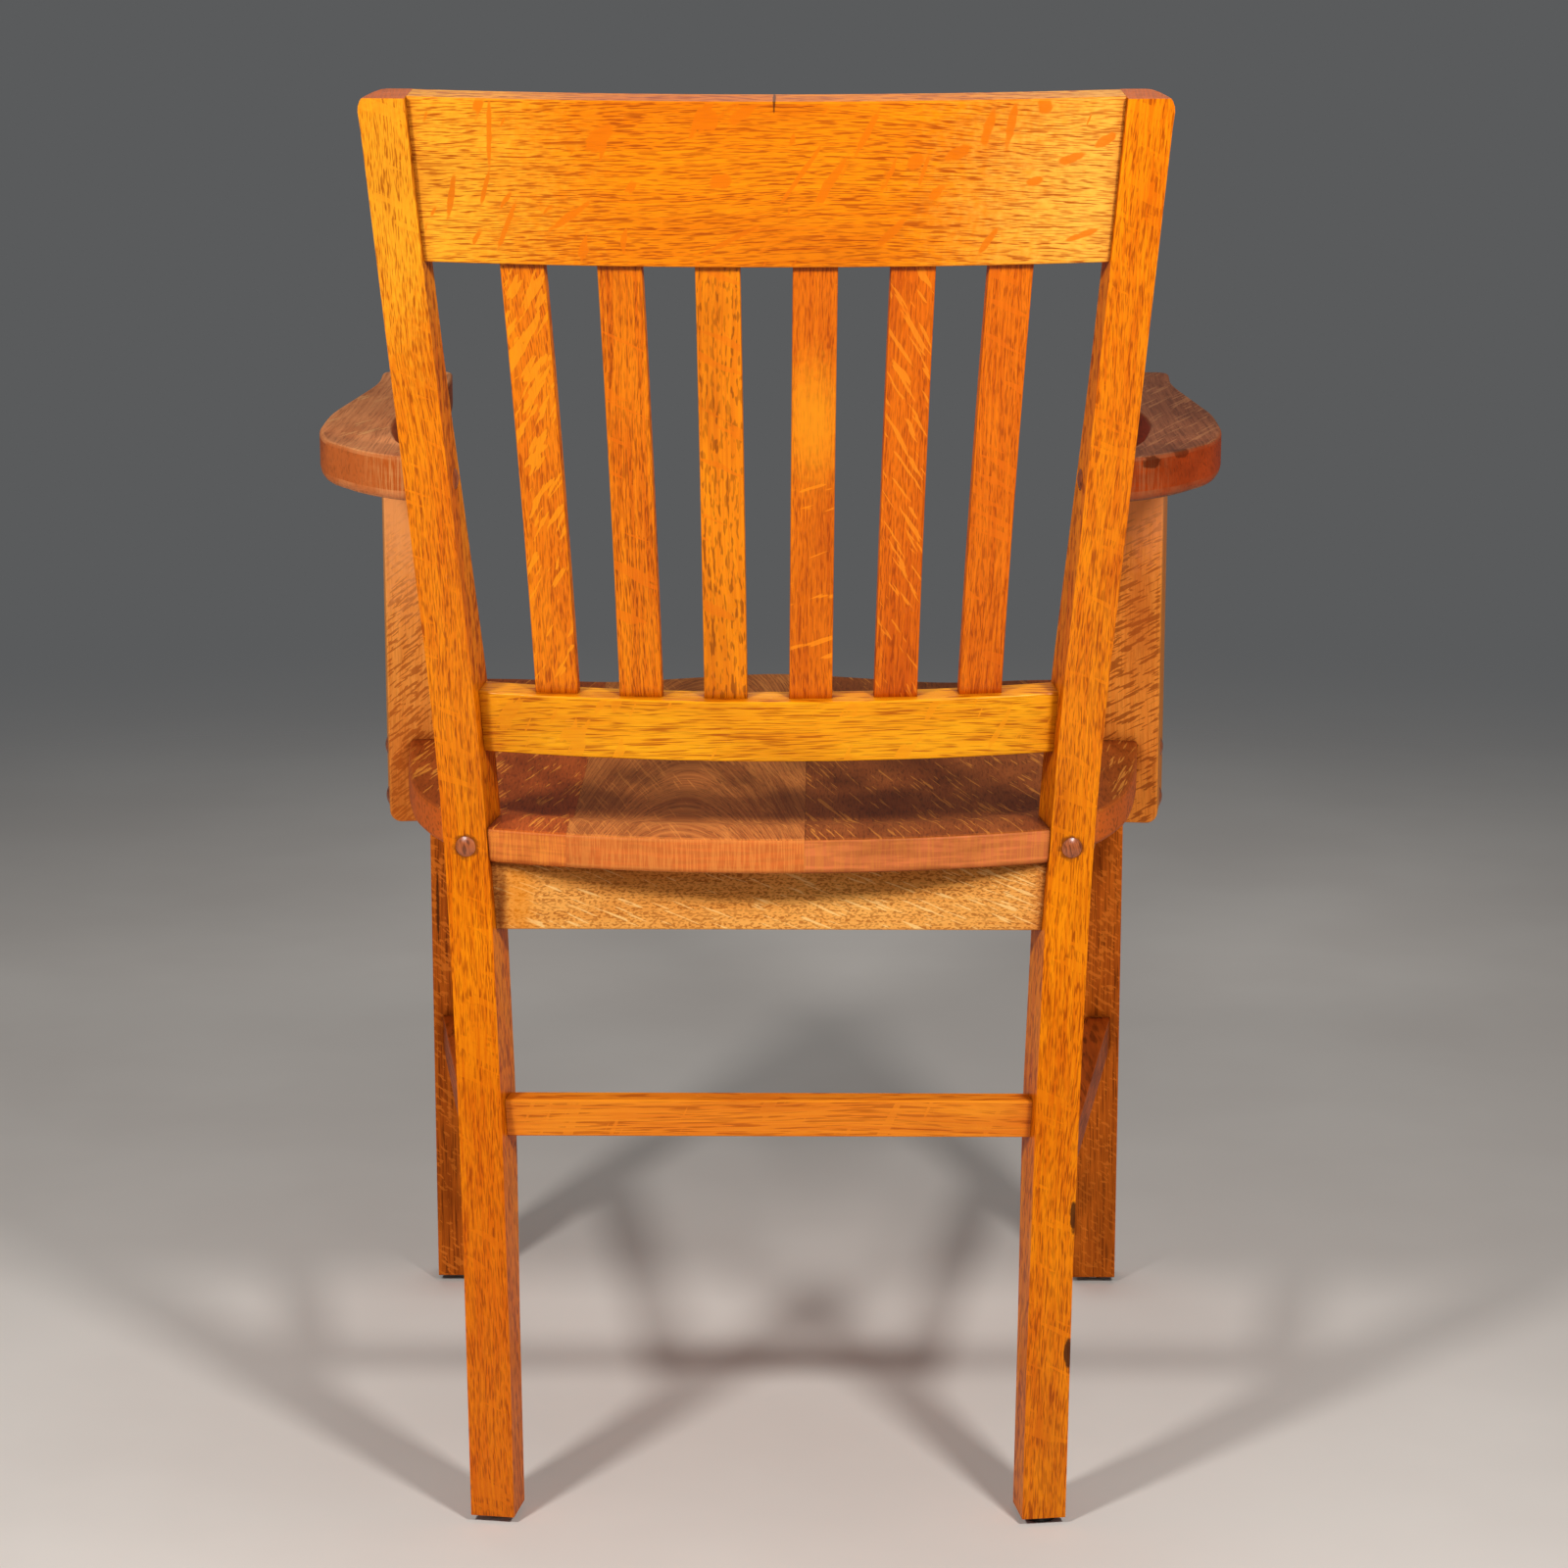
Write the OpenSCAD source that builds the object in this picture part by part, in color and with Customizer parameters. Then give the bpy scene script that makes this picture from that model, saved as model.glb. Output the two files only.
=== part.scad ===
// Oak library armchair: two raked and turned back posts, a bowed crest over six fanned slats,
// a glued and saddled seat, flat S-shaped arms on stout supports, aprons and three stretchers.
// Millimetres. The floor is Z = 0, the sitter faces -Y, and the sitter's left is +X.

/* [Overall] */
// Height of the seat's top at its rear edge
seat_h = 449; // [430:1:470]
// Height of the back above the seat's rear edge, to the front edge of the back posts
back_h = 467; // [440:1:500]
// Height of the arm's top where it meets the back post
arm_h = 691; // [670:1:710]
// Distance from the rear face of the back feet to the rear face of the front legs
base_d = 467; // [450:1:490]

/* [Back posts] */
// Width of a back post across its rear face
post_w = 28.5; // [26:0.5:32]
// Depth of a back post at the floor
post_foot_d = 30; // [27:0.5:34]
// Depth of a back post at the seat, where it is deepest
post_seat_d = 40.5; // [38:0.5:44]
// Depth of a back post at its top
post_top_d = 23.5; // [22:0.5:27]
// Distance between the middles of the back posts' rear faces at the floor
post_foot_spread = 356.5; // [340:0.5:370]
// Distance between the middles of the back posts' rear faces at the seat
post_seat_spread = 387.5; // [375:0.5:400]
// Distance between the middles of the back posts' rear faces at the top
post_top_spread = 455; // [440:0.5:470]
// Angle by which the posts rake back from the seat to the floor
leg_rake_angle = 7.35; // [5:0.05:9]
// Angle by which the posts rake back above the seat
back_rake_angle = 12.5; // [9:0.1:15]
// Angle by which each post is turned outward about the vertical
post_turn_angle = 8.7; // [6:0.1:11]
// Height of the post's bend above the seat's rear edge
bend_rise = 16; // [10:1:24]
// Half the length of post over which it bends
bend_half = 90; // [70:1:105]
// Radius of the post's outer top corner
post_top_r = 13; // [9:0.5:15]

/* [Front legs] */
// Side of a square front leg
leg_w = 32; // [30:0.5:36]
// Distance between the front legs' centre lines
leg_spread = 484; // [474:1:492]

/* [Crest rail] */
// Height of the crest rail, along the rake
crest_h = 101; // [88:0.5:115]
// Thickness of the crest rail
crest_t = 18.5; // [17:0.5:20]
// Bow of the crest rail between the posts
crest_bow = 12; // [8:0.5:16]
// Distance from the post's rear corner forward to the crest rail's rear face
crest_set = 4.5; // [3:0.5:6]

/* [Lower back rail] */
// Height of the lower back rail, along its tilt
rail_h = 40; // [34:0.5:44]
// Thickness of the lower back rail
rail_t = 21; // [19:0.5:23]
// Bow of the lower back rail between the posts
rail_bow = 20; // [14:0.5:23]
// Distance from the post's rear corner forward to the lower rail's rear face
rail_set = 13.5; // [11:0.5:15]
// Height of the lower rail's middle above the seat's rear edge
rail_rise = 67; // [62:0.5:76]

/* [Back slats] */
// Width of a slat
slat_w = 27; // [22:0.5:30]
// Thickness of a slat
slat_t = 9.5; // [8:0.5:11]
// Distance between slat centres at the crest rail
slat_top_pitch = 58.6; // [54:0.1:61]
// Distance between slat centres at the lower rail
slat_low_pitch = 53.3; // [49:0.1:55]
// Forward curve of a slat between its ends
slat_curve = 5; // [3:0.5:8]
// Depth of the mortise that holds each end of a slat
slat_tenon = 11; // [8:0.5:14]

/* [Seat] */
// Thickness of the seat at its rim
seat_t = 23; // [21:0.5:27]
// Depth of the main hollow below the rim
seat_dish = 9; // [6:0.5:10]
// Depth of the two thigh hollows at the front
thigh_dish = 3; // [1:0.5:4]
// Height of the front ridge above the rim
seat_ridge = 3; // [2:0.5:7]
// Width of the flat rim along the seat's rear edge
seat_rim_w = 32; // [24:1:44]
// Angle by which the seat rises to the front
seat_tilt_angle = 1.4; // [0.4:0.1:2]
// Distance that the seat's side stands beyond the front legs' centre line at the arm supports
seat_side = 11.5; // [8:0.5:15]
// Distance that the seat's front corners stand proud of the front legs' outer faces
seat_side_nose = 14; // [10:0.5:18]
// Distance that the seat's front edge stands proud of the front legs
seat_nose = 16; // [11:0.5:22]
// Bow of the seat's front edge
seat_front_bow = 7; // [4:0.5:11]
// Radius of the seat's front corners
seat_corner_r = 26; // [18:1:34]
// Bow of the seat's rear edge between the posts
seat_back_bow = 29; // [23:0.5:33]
// Width of one seat board
board_w = 151; // [146:0.5:156]
// Distance from the middle of the seat to the nearest joint between boards
board_shift = 23; // [18:0.5:28]

/* [Aprons and stretchers] */
// Height of the aprons below the seat's rear edge
apron_h = 44; // [40:0.5:50]
// Thickness of the aprons
apron_t = 20; // [18:0.5:22]
// Distance from the post's rear corner forward to the rear apron's face
apron_set = 8; // [6:0.5:10]
// Distance from a front leg's front face back to the front apron's face
front_apron_set = 4; // [2:0.5:5]
// Distance from a front leg's outer face in to the side apron's face
side_apron_set = 11; // [9:0.5:13]
// Width of a corner block along each apron
block_w = 52; // [46:1:60]
// Height of a corner block
block_h = 30; // [26:1:34]
// Height of a stretcher
stretcher_h = 24.5; // [21:0.5:29]
// Thickness of a stretcher
stretcher_t = 18; // [15:0.5:20]
// Height of the rear stretcher's underside above the floor
rear_stretcher_z = 248; // [238:1:280]
// Height of the side stretchers' underside above the floor
side_stretcher_z = 186; // [140:1:198]
// Distance from the post's rear corner forward to the rear stretcher's face
stretcher_set = 12; // [10:0.5:13]
// Distance from a front leg's outer face in to the side stretcher's face
side_stretcher_set = 7; // [5:0.5:9]

/* [Arms] */
// Thickness of an arm
arm_t = 28.5; // [26:0.5:32]
// Length of an arm forward of the post's rear corner
arm_len = 418; // [400:1:430]
// Reach of an arm beyond the post's outer face at its widest
arm_reach = 68.5; // [64:0.5:73]
// Angle by which an arm rises to the front
arm_tilt_angle = 1.15; // [0.4:0.05:2]
// Radius of the corners at the front end of an arm
arm_end_r = 10; // [6:0.5:14]
// Thickness of an arm support, from the side apron to its outer face
support_t = 42.5; // [40:0.5:44]
// Width of an arm support from front to back
support_w = 68; // [60:1:76]
// Distance from the front legs' rear face back to the arm support
support_back = 92; // [86:1:100]
// Height of the arm support's lower end above the side apron's lower edge
support_rise = 15; // [9:0.5:20]
// Radius of the rounded lower edge of an arm support
support_r = 8; // [5:0.5:10]

/* [Fixings] */
// Diameter of the wooden plugs over the screws
plug_d = 13; // [12:0.5:14]
// Diameter of the dowels in the crest rail and the arms
dowel_d = 9.5; // [8.5:0.5:10]
// Diameter of the dowels in the aprons, the stretchers and the lower rail
small_dowel_d = 8; // [7:0.5:8.5]
// Length of a dowel on each side of its joint
dowel_hold = 11.5; // [10:0.5:12]
// Diameter of a metal glide
glide_d = 19; // [17:0.5:22]
// Diameter of the pad under the right back foot
pad_d = 21; // [19:0.5:24]
// Height of the glides and the pad
glide_h = 4.5; // [3.5:0.1:6]

/* [Hidden] */

// Height of the whole chair, at the front edge of the back posts
chair_h = seat_h + back_h;

// Clearances, and the overrun of every cut
glue_gap = 0.1;
fit_gap = 0.15;
overrun = 5;
reach = 2 * chair_h;

// Numbers of steps along curves
post_steps = 36;
slat_steps = 10;
spline_steps = 4;
corner_steps = 6;
arc_steps = 16;
bow_facets = 360;
pin_facets = 32;
seat_steps = 30;

// Lean of the posts' front view at the floor, at the seat and at the top
foot_lean_angle = 1.03;
seat_lean_angle = 3.3;
top_lean_angle = 3.9;

// Screws, plugs and glides
screw_d = 5;
screw_head_d = 9;
screw_head_h = 3;
plug_depth = 7;
plug_rise = 1.8;
post_screw_hold = 26;
arm_screw_hold = 15;
support_screw_hold = 26;
apron_screw_hold = 15;
block_screw_hold = 18;
seat_screw_hold = 10;
glide_flat_d = 7;
shank_d = 4;
shank_h = 12;
nail_head_d = 8;
nail_head_h = 1;
nail_recess = 1.5;

// Insets of outlines that start inside a post, and of rails behind a post's outer corner
seat_in = 3;
arm_in = 4;
rail_in = 0.5;
side_stretcher_in = 2.5;

// Shares: how the posts swell, how pieces and fixings divide what carries them
swell_start_share = 0.2;
swell_end_share = 0.66;
thin_end_share = 0.72;
slat_set_share = 0.6;
crest_dowel_shares = [0.24, 0.76];
rail_dowel_shares = [-0.24, 0.24];
apron_dowel_shares = [0.26, 0.76];
arm_dowel_shares = [-0.24, 0.24];
arm_screw_share = 0.58;
apron_screw_share = 0.62;
seat_screw_shares = [0.6, 0.2];

// Smooth step from 0 at a to 1 at b
function smooth(a, b, v) =
    let (t = min(max((v - a) / (b - a), 0), 1)) t * t * (3 - 2 * t);

// Bell of height 1 and width w, a distance v from its middle
function bell(v, w) = exp(-pow(v / w, 2));

// Cubic from a to b with slopes ma and mb at its ends, over a run, at share t of it
function cubic(a, b, ma, mb, run, t) =
    a + (b - a) * t * t * (3 - 2 * t) + run * t * (1 - t) * (ma * (1 - t) - mb * t);

// Items of a list from last to first
function reverse(list) = [for (i = [len(list) - 1:-1:0]) list[i]];

// Points of an arc about c from angle a to angle b
function arc(c, r, a, b, n) =
    [for (i = [0:n]) c + r * [cos(a + (b - a) * i / n), sin(a + (b - a) * i / n)]];

// Smooth curve through the points p
function spline_at(p, i, t) =
    let (a = p[max(i - 1, 0)], b = p[i], c = p[i + 1], d = p[min(i + 2, len(p) - 1)])
    (2 * b + (c - a) * t + (2 * a - 5 * b + 4 * c - d) * t * t
     + (3 * b - a - 3 * c + d) * t * t * t) / 2;
function spline(p) = [
    for (i = [0:len(p) - 2], k = [0:spline_steps - 1]) spline_at(p, i, k / spline_steps),
    p[len(p) - 1]
];

// Radius of a bow that rises by s over half a chord
function bow_radius(half, s) = (half * half + s * s) / (2 * s);

// Place of point p in a frame at o that leans back by angle a
function tilted(o, a, p) =
    o + [p[0], p[1] * cos(a) + p[2] * sin(a), p[2] * cos(a) - p[1] * sin(a)];

// Slopes of the posts below and above their bend
bend_z = seat_h + bend_rise;
leg_slope = tan(leg_rake_angle);
back_slope = tan(back_rake_angle);
bend_slope = leg_slope + back_slope;

// Distance that the posts' rear faces stand behind their feet at height z, and its slope
function rake_y(z) =
    let (past = min(max(z - bend_z + bend_half, 0), 2 * bend_half),
         above = max(z - bend_z - bend_half, 0))
    bend_slope * (past * past / (4 * bend_half) + above) - z * leg_slope;
function rake_slope(z) =
    bend_slope * min(max((z - bend_z + bend_half) / (2 * bend_half), 0), 1) - leg_slope;

// Places that set the origin under the middle of the whole chair
post_top_z = chair_h - post_top_d * sin(back_rake_angle) * cos(back_rake_angle);
corner_back = post_w / 2 * sin(post_turn_angle);
crest_back = max(0, crest_bow - crest_set) * cos(back_rake_angle);
front_y = -(base_d + leg_w + seat_nose);
rear_y = rake_y(post_top_z) + corner_back + crest_back;
foot_y = -(front_y + rear_y) / 2;

// Middle of the left post's rear face at height z
function post_y(z) = foot_y + rake_y(z);
function post_x(z) =
    z < seat_h
    ? cubic(post_foot_spread / 2, post_seat_spread / 2, tan(foot_lean_angle),
            tan(seat_lean_angle), seat_h, z / seat_h)
    : cubic(post_seat_spread / 2, post_top_spread / 2, tan(seat_lean_angle),
            tan(top_lean_angle), chair_h - seat_h, (z - seat_h) / (chair_h - seat_h));

// Depth of the post at height z, which swells to the seat and thins to the top
function post_d(z) =
    z < bend_z
    ? post_foot_d + (post_seat_d - post_foot_d)
      * smooth(swell_start_share * seat_h, swell_end_share * seat_h, z)
    : post_seat_d + (post_top_d - post_seat_d)
      * smooth(bend_z, bend_z + thin_end_share * (chair_h - bend_z), z);

// The left post's own axes: u runs outward across its rear face and v runs rearward
post_out = [cos(post_turn_angle), -sin(post_turn_angle), 0];
post_back = [sin(post_turn_angle), cos(post_turn_angle), 0];
function post_u(z) = post_x(z) * post_out[0] + post_y(z) * post_out[1];
function post_v(z) = post_x(z) * post_back[0] + post_y(z) * post_back[1];

// Point at height z, moved out by du and forward by dv from the rear face's middle
function post_point(z, du, dv) = [post_x(z), post_y(z), z] + du * post_out - dv * post_back;

// Point of the post's inner side at a given y and z
function inner_side(y, z) =
    let (c = post_point(z, -post_w / 2, 0)) [c[0] - (c[1] - y) * tan(post_turn_angle), y, z];

// Evenly spaced heights from a to b
function heights(a, b) = [for (i = [0:post_steps]) a + (b - a) * i / post_steps];

module on_side(side) {
    if (side > 0) children();
    else mirror([1, 0, 0]) children();
}

module on_both() {
    on_side(1) children();
    on_side(-1) children();
}

// A profile drawn in x and z, spread along y
module across_y() {
    rotate([90, 0, 0]) linear_extrude(height = reach, center = true) children();
}

// A profile drawn in y and z, spread along x
module across_x() {
    rotate([90, 0, 90]) linear_extrude(height = reach, center = true) children();
}

// Children at point p, with their Z axis along out
module facing(p, out) {
    flat = norm([out[0], out[1]]);
    translate(p) rotate([0, atan2(flat, out[2]), atan2(out[1], out[0])]) children();
}

// Children in a frame at o that leans back by angle a
module leaning(o, a) {
    translate(o) rotate([-a, 0, 0]) children();
}

// Fixings

// Dowel centred on point p, grown by g for its hole
module dowel(p, out, d, g = 0) {
    half = dowel_hold + g;
    facing(p, out) translate([0, 0, -half])
        cylinder(d = d + 2 * g, h = 2 * half, $fn = pin_facets);
}

// Screw at point p of a face that looks along out, with its head at a depth and its tip at a length
module screw(p, out, deep, length) {
    facing(p, out) {
        translate([0, 0, -deep - screw_head_h])
            cylinder(d = screw_head_d, h = screw_head_h, $fn = pin_facets);
        translate([0, 0, -length])
            cylinder(d = screw_d, h = length - deep, $fn = pin_facets);
    }
}

module screw_hole(p, out, deep, length, wide) {
    floor_z = -deep - screw_head_h;
    facing(p, out) {
        translate([0, 0, floor_z])
            cylinder(d = wide + 2 * fit_gap, h = overrun - floor_z, $fn = pin_facets);
        translate([0, 0, -length - fit_gap])
            cylinder(d = screw_d + 2 * fit_gap, h = length, $fn = pin_facets);
    }
}

// Domed plug over a screw
module plug(p, out) {
    r = plug_d / 2;
    crown_r = bow_radius(r, plug_rise);
    crown = arc([0, plug_rise - crown_r], crown_r, acos(r / crown_r), 90, corner_steps);
    facing(p, out) rotate_extrude($fn = pin_facets)
        polygon(concat([[0, fit_gap - plug_depth], [r, fit_gap - plug_depth]], crown));
}

// Back posts

// The left post, grown by g all round
module post_body(g = 0) {
    half = post_w / 2 + g;
    crown_u = post_u(chair_h) + half - post_top_r;
    crown_z = chair_h - post_top_r;
    high = heights(glide_h - g, chair_h);
    low = heights(glide_h - g, post_top_z);
    inner = [for (z = high) [post_u(z) - half, z]];
    outer = [for (z = high) if (z < crown_z) [post_u(z) + half, z]];
    crown = arc([crown_u, crown_z], post_top_r, 0, 90, corner_steps);
    front = [for (z = high) [post_v(z) - post_d(z) - g, z]];
    back = [for (z = low) [post_v(z) + g, z]];
    rotate([0, 0, -post_turn_angle]) intersection() {
        across_y() polygon(concat(inner, reverse(concat(outer, crown))));
        across_x() polygon(concat(front, reverse(back)));
    }
}

// Everything outboard of the left post's inner side
module beyond_post() {
    top_z = chair_h + post_top_d;
    far_u = post_u(0) + reach / 2;
    inner = [for (z = heights(-overrun, top_z)) [post_u(z) - post_w / 2 - glue_gap, z]];
    rotate([0, 0, -post_turn_angle]) across_y()
        polygon(concat(inner, [[far_u, top_z], [far_u, -overrun]]));
}

// Middle of the left back foot's underside
foot_o = post_point(glide_h, 0, post_foot_d / 2);
foot_point = [foot_o[0], foot_o[1], 0];

module back_post(side) {
    color("peru") on_side(side) difference() {
        post_body();
        crest_dowel_set(fit_gap);
        rail_dowel_set(fit_gap);
        rear_apron_dowel_set(fit_gap);
        side_apron_dowel_set(fit_gap);
        stretcher_dowel_set(fit_gap);
        seat_post_hole();
        arm_post_hole();
        block_screw_hole(rear_block);
        translate(foot_point) shank_hole();
    }
}

// Front legs

leg_x = leg_spread / 2;
leg_rear_y = foot_y - base_d;
leg_y = leg_rear_y - leg_w / 2;

module leg_body(g = 0) {
    side = leg_w + 2 * g;
    intersection() {
        translate([leg_x - side / 2, leg_y - side / 2, glide_h - g]) cube([side, side, seat_h]);
        below_seat();
    }
}

module front_leg(side) {
    color("saddlebrown") on_side(side) difference() {
        leg_body();
        front_apron_dowel_set(fit_gap);
        side_apron_dowel_set(fit_gap);
        stretcher_dowel_set(fit_gap);
        block_screw_hole(front_block);
        translate([leg_x, leg_y, 0]) shank_hole();
    }
}

// Back rails and slats

crest_x = post_x(post_top_z - crest_h / 2) - post_w / 2 * cos(post_turn_angle);
crest_o = [0, post_y(post_top_z) + corner_back, post_top_z];
crest_r = bow_radius(crest_x, crest_bow);
rail_z = seat_h + rail_rise;
rail_x = post_x(rail_z) - post_w / 2 * cos(post_turn_angle);
rail_o = [0, post_y(rail_z) + corner_back, rail_z];
rail_r = bow_radius(rail_x, rail_bow);
rail_angle = atan(rake_slope(rail_z));

// Bowed rail of thickness t from height low to high, whose rear face meets the posts at y = -set
module bowed_rail(half, bow, set, t, low, high) {
    r = bow_radius(half, bow);
    wide = 2 * (half + post_w);
    tall = high - low;
    translate([0, bow - set - r, low]) intersection() {
        difference() {
            cylinder(r = r, h = tall, $fn = bow_facets);
            translate([0, 0, -overrun])
                cylinder(r = r - t, h = tall + 2 * overrun, $fn = bow_facets);
        }
        translate([-wide / 2, 0, -overrun]) cube([wide, r + overrun, tall + 2 * overrun]);
    }
}

module crest_rail() {
    color("peru") difference() {
        leaning(crest_o, back_rake_angle)
            bowed_rail(crest_x, crest_bow, crest_set, crest_t, -crest_h, 0);
        on_both() {
            beyond_post();
            crest_dowel_set(fit_gap);
        }
        for (k = [1:6]) slat_body(k, glue_gap);
    }
}

module lower_back_rail() {
    color("goldenrod") difference() {
        leaning(rail_o, rail_angle)
            bowed_rail(rail_x, rail_bow, rail_set, rail_t, -rail_h / 2, rail_h / 2);
        on_both() {
            beyond_post();
            rail_dowel_set(fit_gap);
        }
        for (k = [1:6]) slat_body(k, glue_gap);
    }
}

// Places of slat k, counted from the left, on the two rails
function slat_top_x(k) = (3.5 - k) * slat_top_pitch;
function slat_low_x(k) = (3.5 - k) * slat_low_pitch;
function slat_y(x, r, bow, set, t) =
    sqrt(r * r - x * x) - r + bow - set - slat_t / 2 - slat_set_share * (t - slat_t);
function slat_top(k) =
    let (x = slat_top_x(k), y = slat_y(x, crest_r, crest_bow, crest_set, crest_t))
    tilted(crest_o, back_rake_angle, [x, y, -crest_h]);
function slat_low(k) =
    let (x = slat_low_x(k), y = slat_y(x, rail_r, rail_bow, rail_set, rail_t))
    tilted(rail_o, rail_angle, [x, y, rail_h / 2]);
function slat_turn(k) = -(asin(slat_top_x(k) / crest_r) + asin(slat_low_x(k) / rail_r)) / 2;

// Rotation that points the Z axis along d after a turn c about the vertical
function aim(d, c) =
    let (n = norm(d), x = (d[0] * cos(c) + d[1] * sin(c)) / n,
         y = (d[1] * cos(c) - d[0] * sin(c)) / n)
    [-asin(y), atan2(x, d[2] / n), c];

module slat_body(k, g = 0) {
    low = slat_low(k);
    way = slat_top(k) - low;
    span = norm(way);
    start = -slat_tenon - g;
    run = span - 2 * start;
    shares = [for (i = [0:slat_steps]) (start + run * i / slat_steps) / span];
    half = slat_t / 2 + g;
    front = [for (s = shares) [-4 * slat_curve * s * (1 - s) - half, s * span]];
    back = [for (s = shares) [-4 * slat_curve * s * (1 - s) + half, s * span]];
    translate(low) rotate(aim(way, slat_turn(k))) rotate([90, 0, 90])
        linear_extrude(height = slat_w + 2 * g, center = true)
            polygon(concat(front, reverse(back)));
}

module back_slat(k) {
    color(k % 2 == 0 ? "sienna" : "peru") slat_body(k);
}

// Seat

seat_half_w = leg_x + seat_side;
seat_front_half_w = leg_x + leg_w / 2 + seat_side_nose;
seat_rear_in = post_point(seat_h, seat_in - post_w / 2, seat_in);
seat_ear_in = post_point(seat_h, post_w / 2 - seat_in, post_d(seat_h) - seat_in);
seat_back_r = bow_radius(seat_rear_in[0], seat_back_bow);
seat_back_angle = asin(seat_rear_in[0] / seat_back_r);
seat_y = seat_rear_in[1] + seat_back_bow;
seat_o = [0, seat_y, seat_h - seat_t];
seat_front_y = foot_y + front_y;
seat_d = seat_y - seat_front_y;

// Outline of the seat's ear, from the post to the arm support
ear_shares = [[0, 0], [0.3, 0.07], [0.57, 0.23], [0.72, 0.37], [0.88, 0.64], [1, 1]];
support_front_y = leg_rear_y + support_back;
support_rear_y = support_front_y + support_w;
ear_w = seat_half_w - seat_ear_in[0];
ear_d = seat_ear_in[1] - support_rear_y;
ear = [for (s = ear_shares) [seat_ear_in[0] + s[0] * ear_w, seat_ear_in[1] - s[1] * ear_d]];

// Front corner, whose arc touches the side line and the bowed front edge
side_slope = (seat_front_half_w - seat_half_w) / (support_rear_y - seat_front_y);
side_edge_angle = atan(side_slope);
seat_front_r = bow_radius(seat_front_half_w, seat_front_bow);
seat_front_o = [0, seat_front_y + seat_front_r];
corner_x = seat_front_half_w - side_slope * (seat_front_bow + seat_corner_r)
    - seat_corner_r / cos(side_edge_angle);
corner_y = seat_front_o[1] - sqrt(pow(seat_front_r - seat_corner_r, 2) - corner_x * corner_x);
corner_angle = atan2(corner_y - seat_front_o[1], corner_x);
half_seat = concat(
    arc([0, seat_y - seat_back_r], seat_back_r, 90, 90 - seat_back_angle, arc_steps),
    spline(ear),
    arc([corner_x, corner_y], seat_corner_r, side_edge_angle, corner_angle, corner_steps),
    arc(seat_front_o, seat_front_r, corner_angle, -90, arc_steps)
);

module seat_outline() {
    inner = [for (i = [1:len(half_seat) - 2]) half_seat[i]];
    other = [for (p = reverse(inner)) [-p[0], p[1]]];
    leaning(seat_o, seat_tilt_angle) linear_extrude(height = 2 * seat_t)
        translate([0, -seat_y]) polygon(concat(half_seat, other));
}

// Everything below the seat's underside
module below_seat() {
    leaning(seat_o, seat_tilt_angle)
        translate([-reach / 2, -reach / 2, -reach - glue_gap]) cube([reach, reach, reach]);
}

// Height of the seat's underside at y
function under_z(y) = seat_o[2] + (seat_y - y) * tan(seat_tilt_angle);

// Height of the seat's top above its underside, at y from the rear edge's middle
side_fade_shares = [0.5, 0.88];
front_fade_shares = [0.4, 0.95];
front_rise_shares = [0.42, 0.95];
thigh_share = 0.5;
bell_share = 0.2;
fall_share = 1.7;
function seat_top(x, y) =
    let (s = abs(x) / seat_half_w, t = -y / seat_d,
         edge = sqrt(seat_back_r * seat_back_r - x * x) - seat_back_r - y,
         hollow = smooth(seat_rim_w, (1 + fall_share) * seat_rim_w, edge)
                  * (1 - smooth(side_fade_shares[0], side_fade_shares[1], s))
                  * (1 - smooth(front_fade_shares[0], front_fade_shares[1], t)),
         rise = smooth(front_rise_shares[0], front_rise_shares[1], t))
    seat_t - seat_dish * hollow
    + rise * (seat_ridge * bell(s, bell_share) - thigh_dish * bell(s - thigh_share, bell_share));

// Solid under the saddled top between x0 and x1
module saddle(x0, x1) {
    nx = ceil((x1 - x0) / (seat_d / seat_steps));
    ny = seat_steps;
    y0 = -seat_d - overrun;
    y1 = overrun;
    low = -overrun;
    row = ny + 1;
    top = [
        for (i = [0:nx], j = [0:ny])
            let (x = x0 + (x1 - x0) * i / nx, y = y0 + (y1 - y0) * j / ny)
            [x, y, seat_top(x, y)]
    ];
    base = len(top);
    foot = [[x0, y0, low], [x1, y0, low], [x1, y1, low], [x0, y1, low]];
    cells = [for (i = [0:nx - 1], j = [0:ny - 1]) i * row + j];
    faces = concat(
        [for (a = cells) [a, a + 1, a + row + 1]],
        [for (a = cells) [a, a + row + 1, a + row]],
        [concat([base], [for (i = [0:nx]) i * row], [base + 1])],
        [concat([base + 2], [for (i = [nx:-1:0]) i * row + ny], [base + 3])],
        [concat([base + 3], [for (j = [ny:-1:0]) j], [base])],
        [concat([base + 1], [for (j = [0:ny]) nx * row + j], [base + 2])],
        [[base, base + 1, base + 2, base + 3]]
    );
    leaning(seat_o, seat_tilt_angle)
        polyhedron(points = concat(top, foot), faces = faces, convexity = 4);
}

// Joint on the right of board k, counted from the left: the last meets the right post
function joint_x(k) =
    k == 3 ? -post_point(seat_h, 0, post_d(seat_h))[0] : (2 - k) * board_w - board_shift;

module seat_board(k) {
    left = k == 1 ? seat_front_half_w + overrun : joint_x(k - 1) - glue_gap / 2;
    right = k == 4 ? -seat_front_half_w - overrun : joint_x(k) + glue_gap / 2;
    color(k % 2 == 0 ? "saddlebrown" : "sienna") difference() {
        intersection() {
            saddle(right - overrun, left + overrun);
            seat_outline();
            translate([right, -reach / 2, 0]) cube([left - right, reach, 2 * seat_h]);
        }
        on_both() {
            post_body(glue_gap);
            support_body(glue_gap);
            seat_post_hole();
            support_holes();
            seat_screw_hole(front_block);
            seat_screw_hole(rear_block);
        }
    }
}

// Aprons

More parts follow.
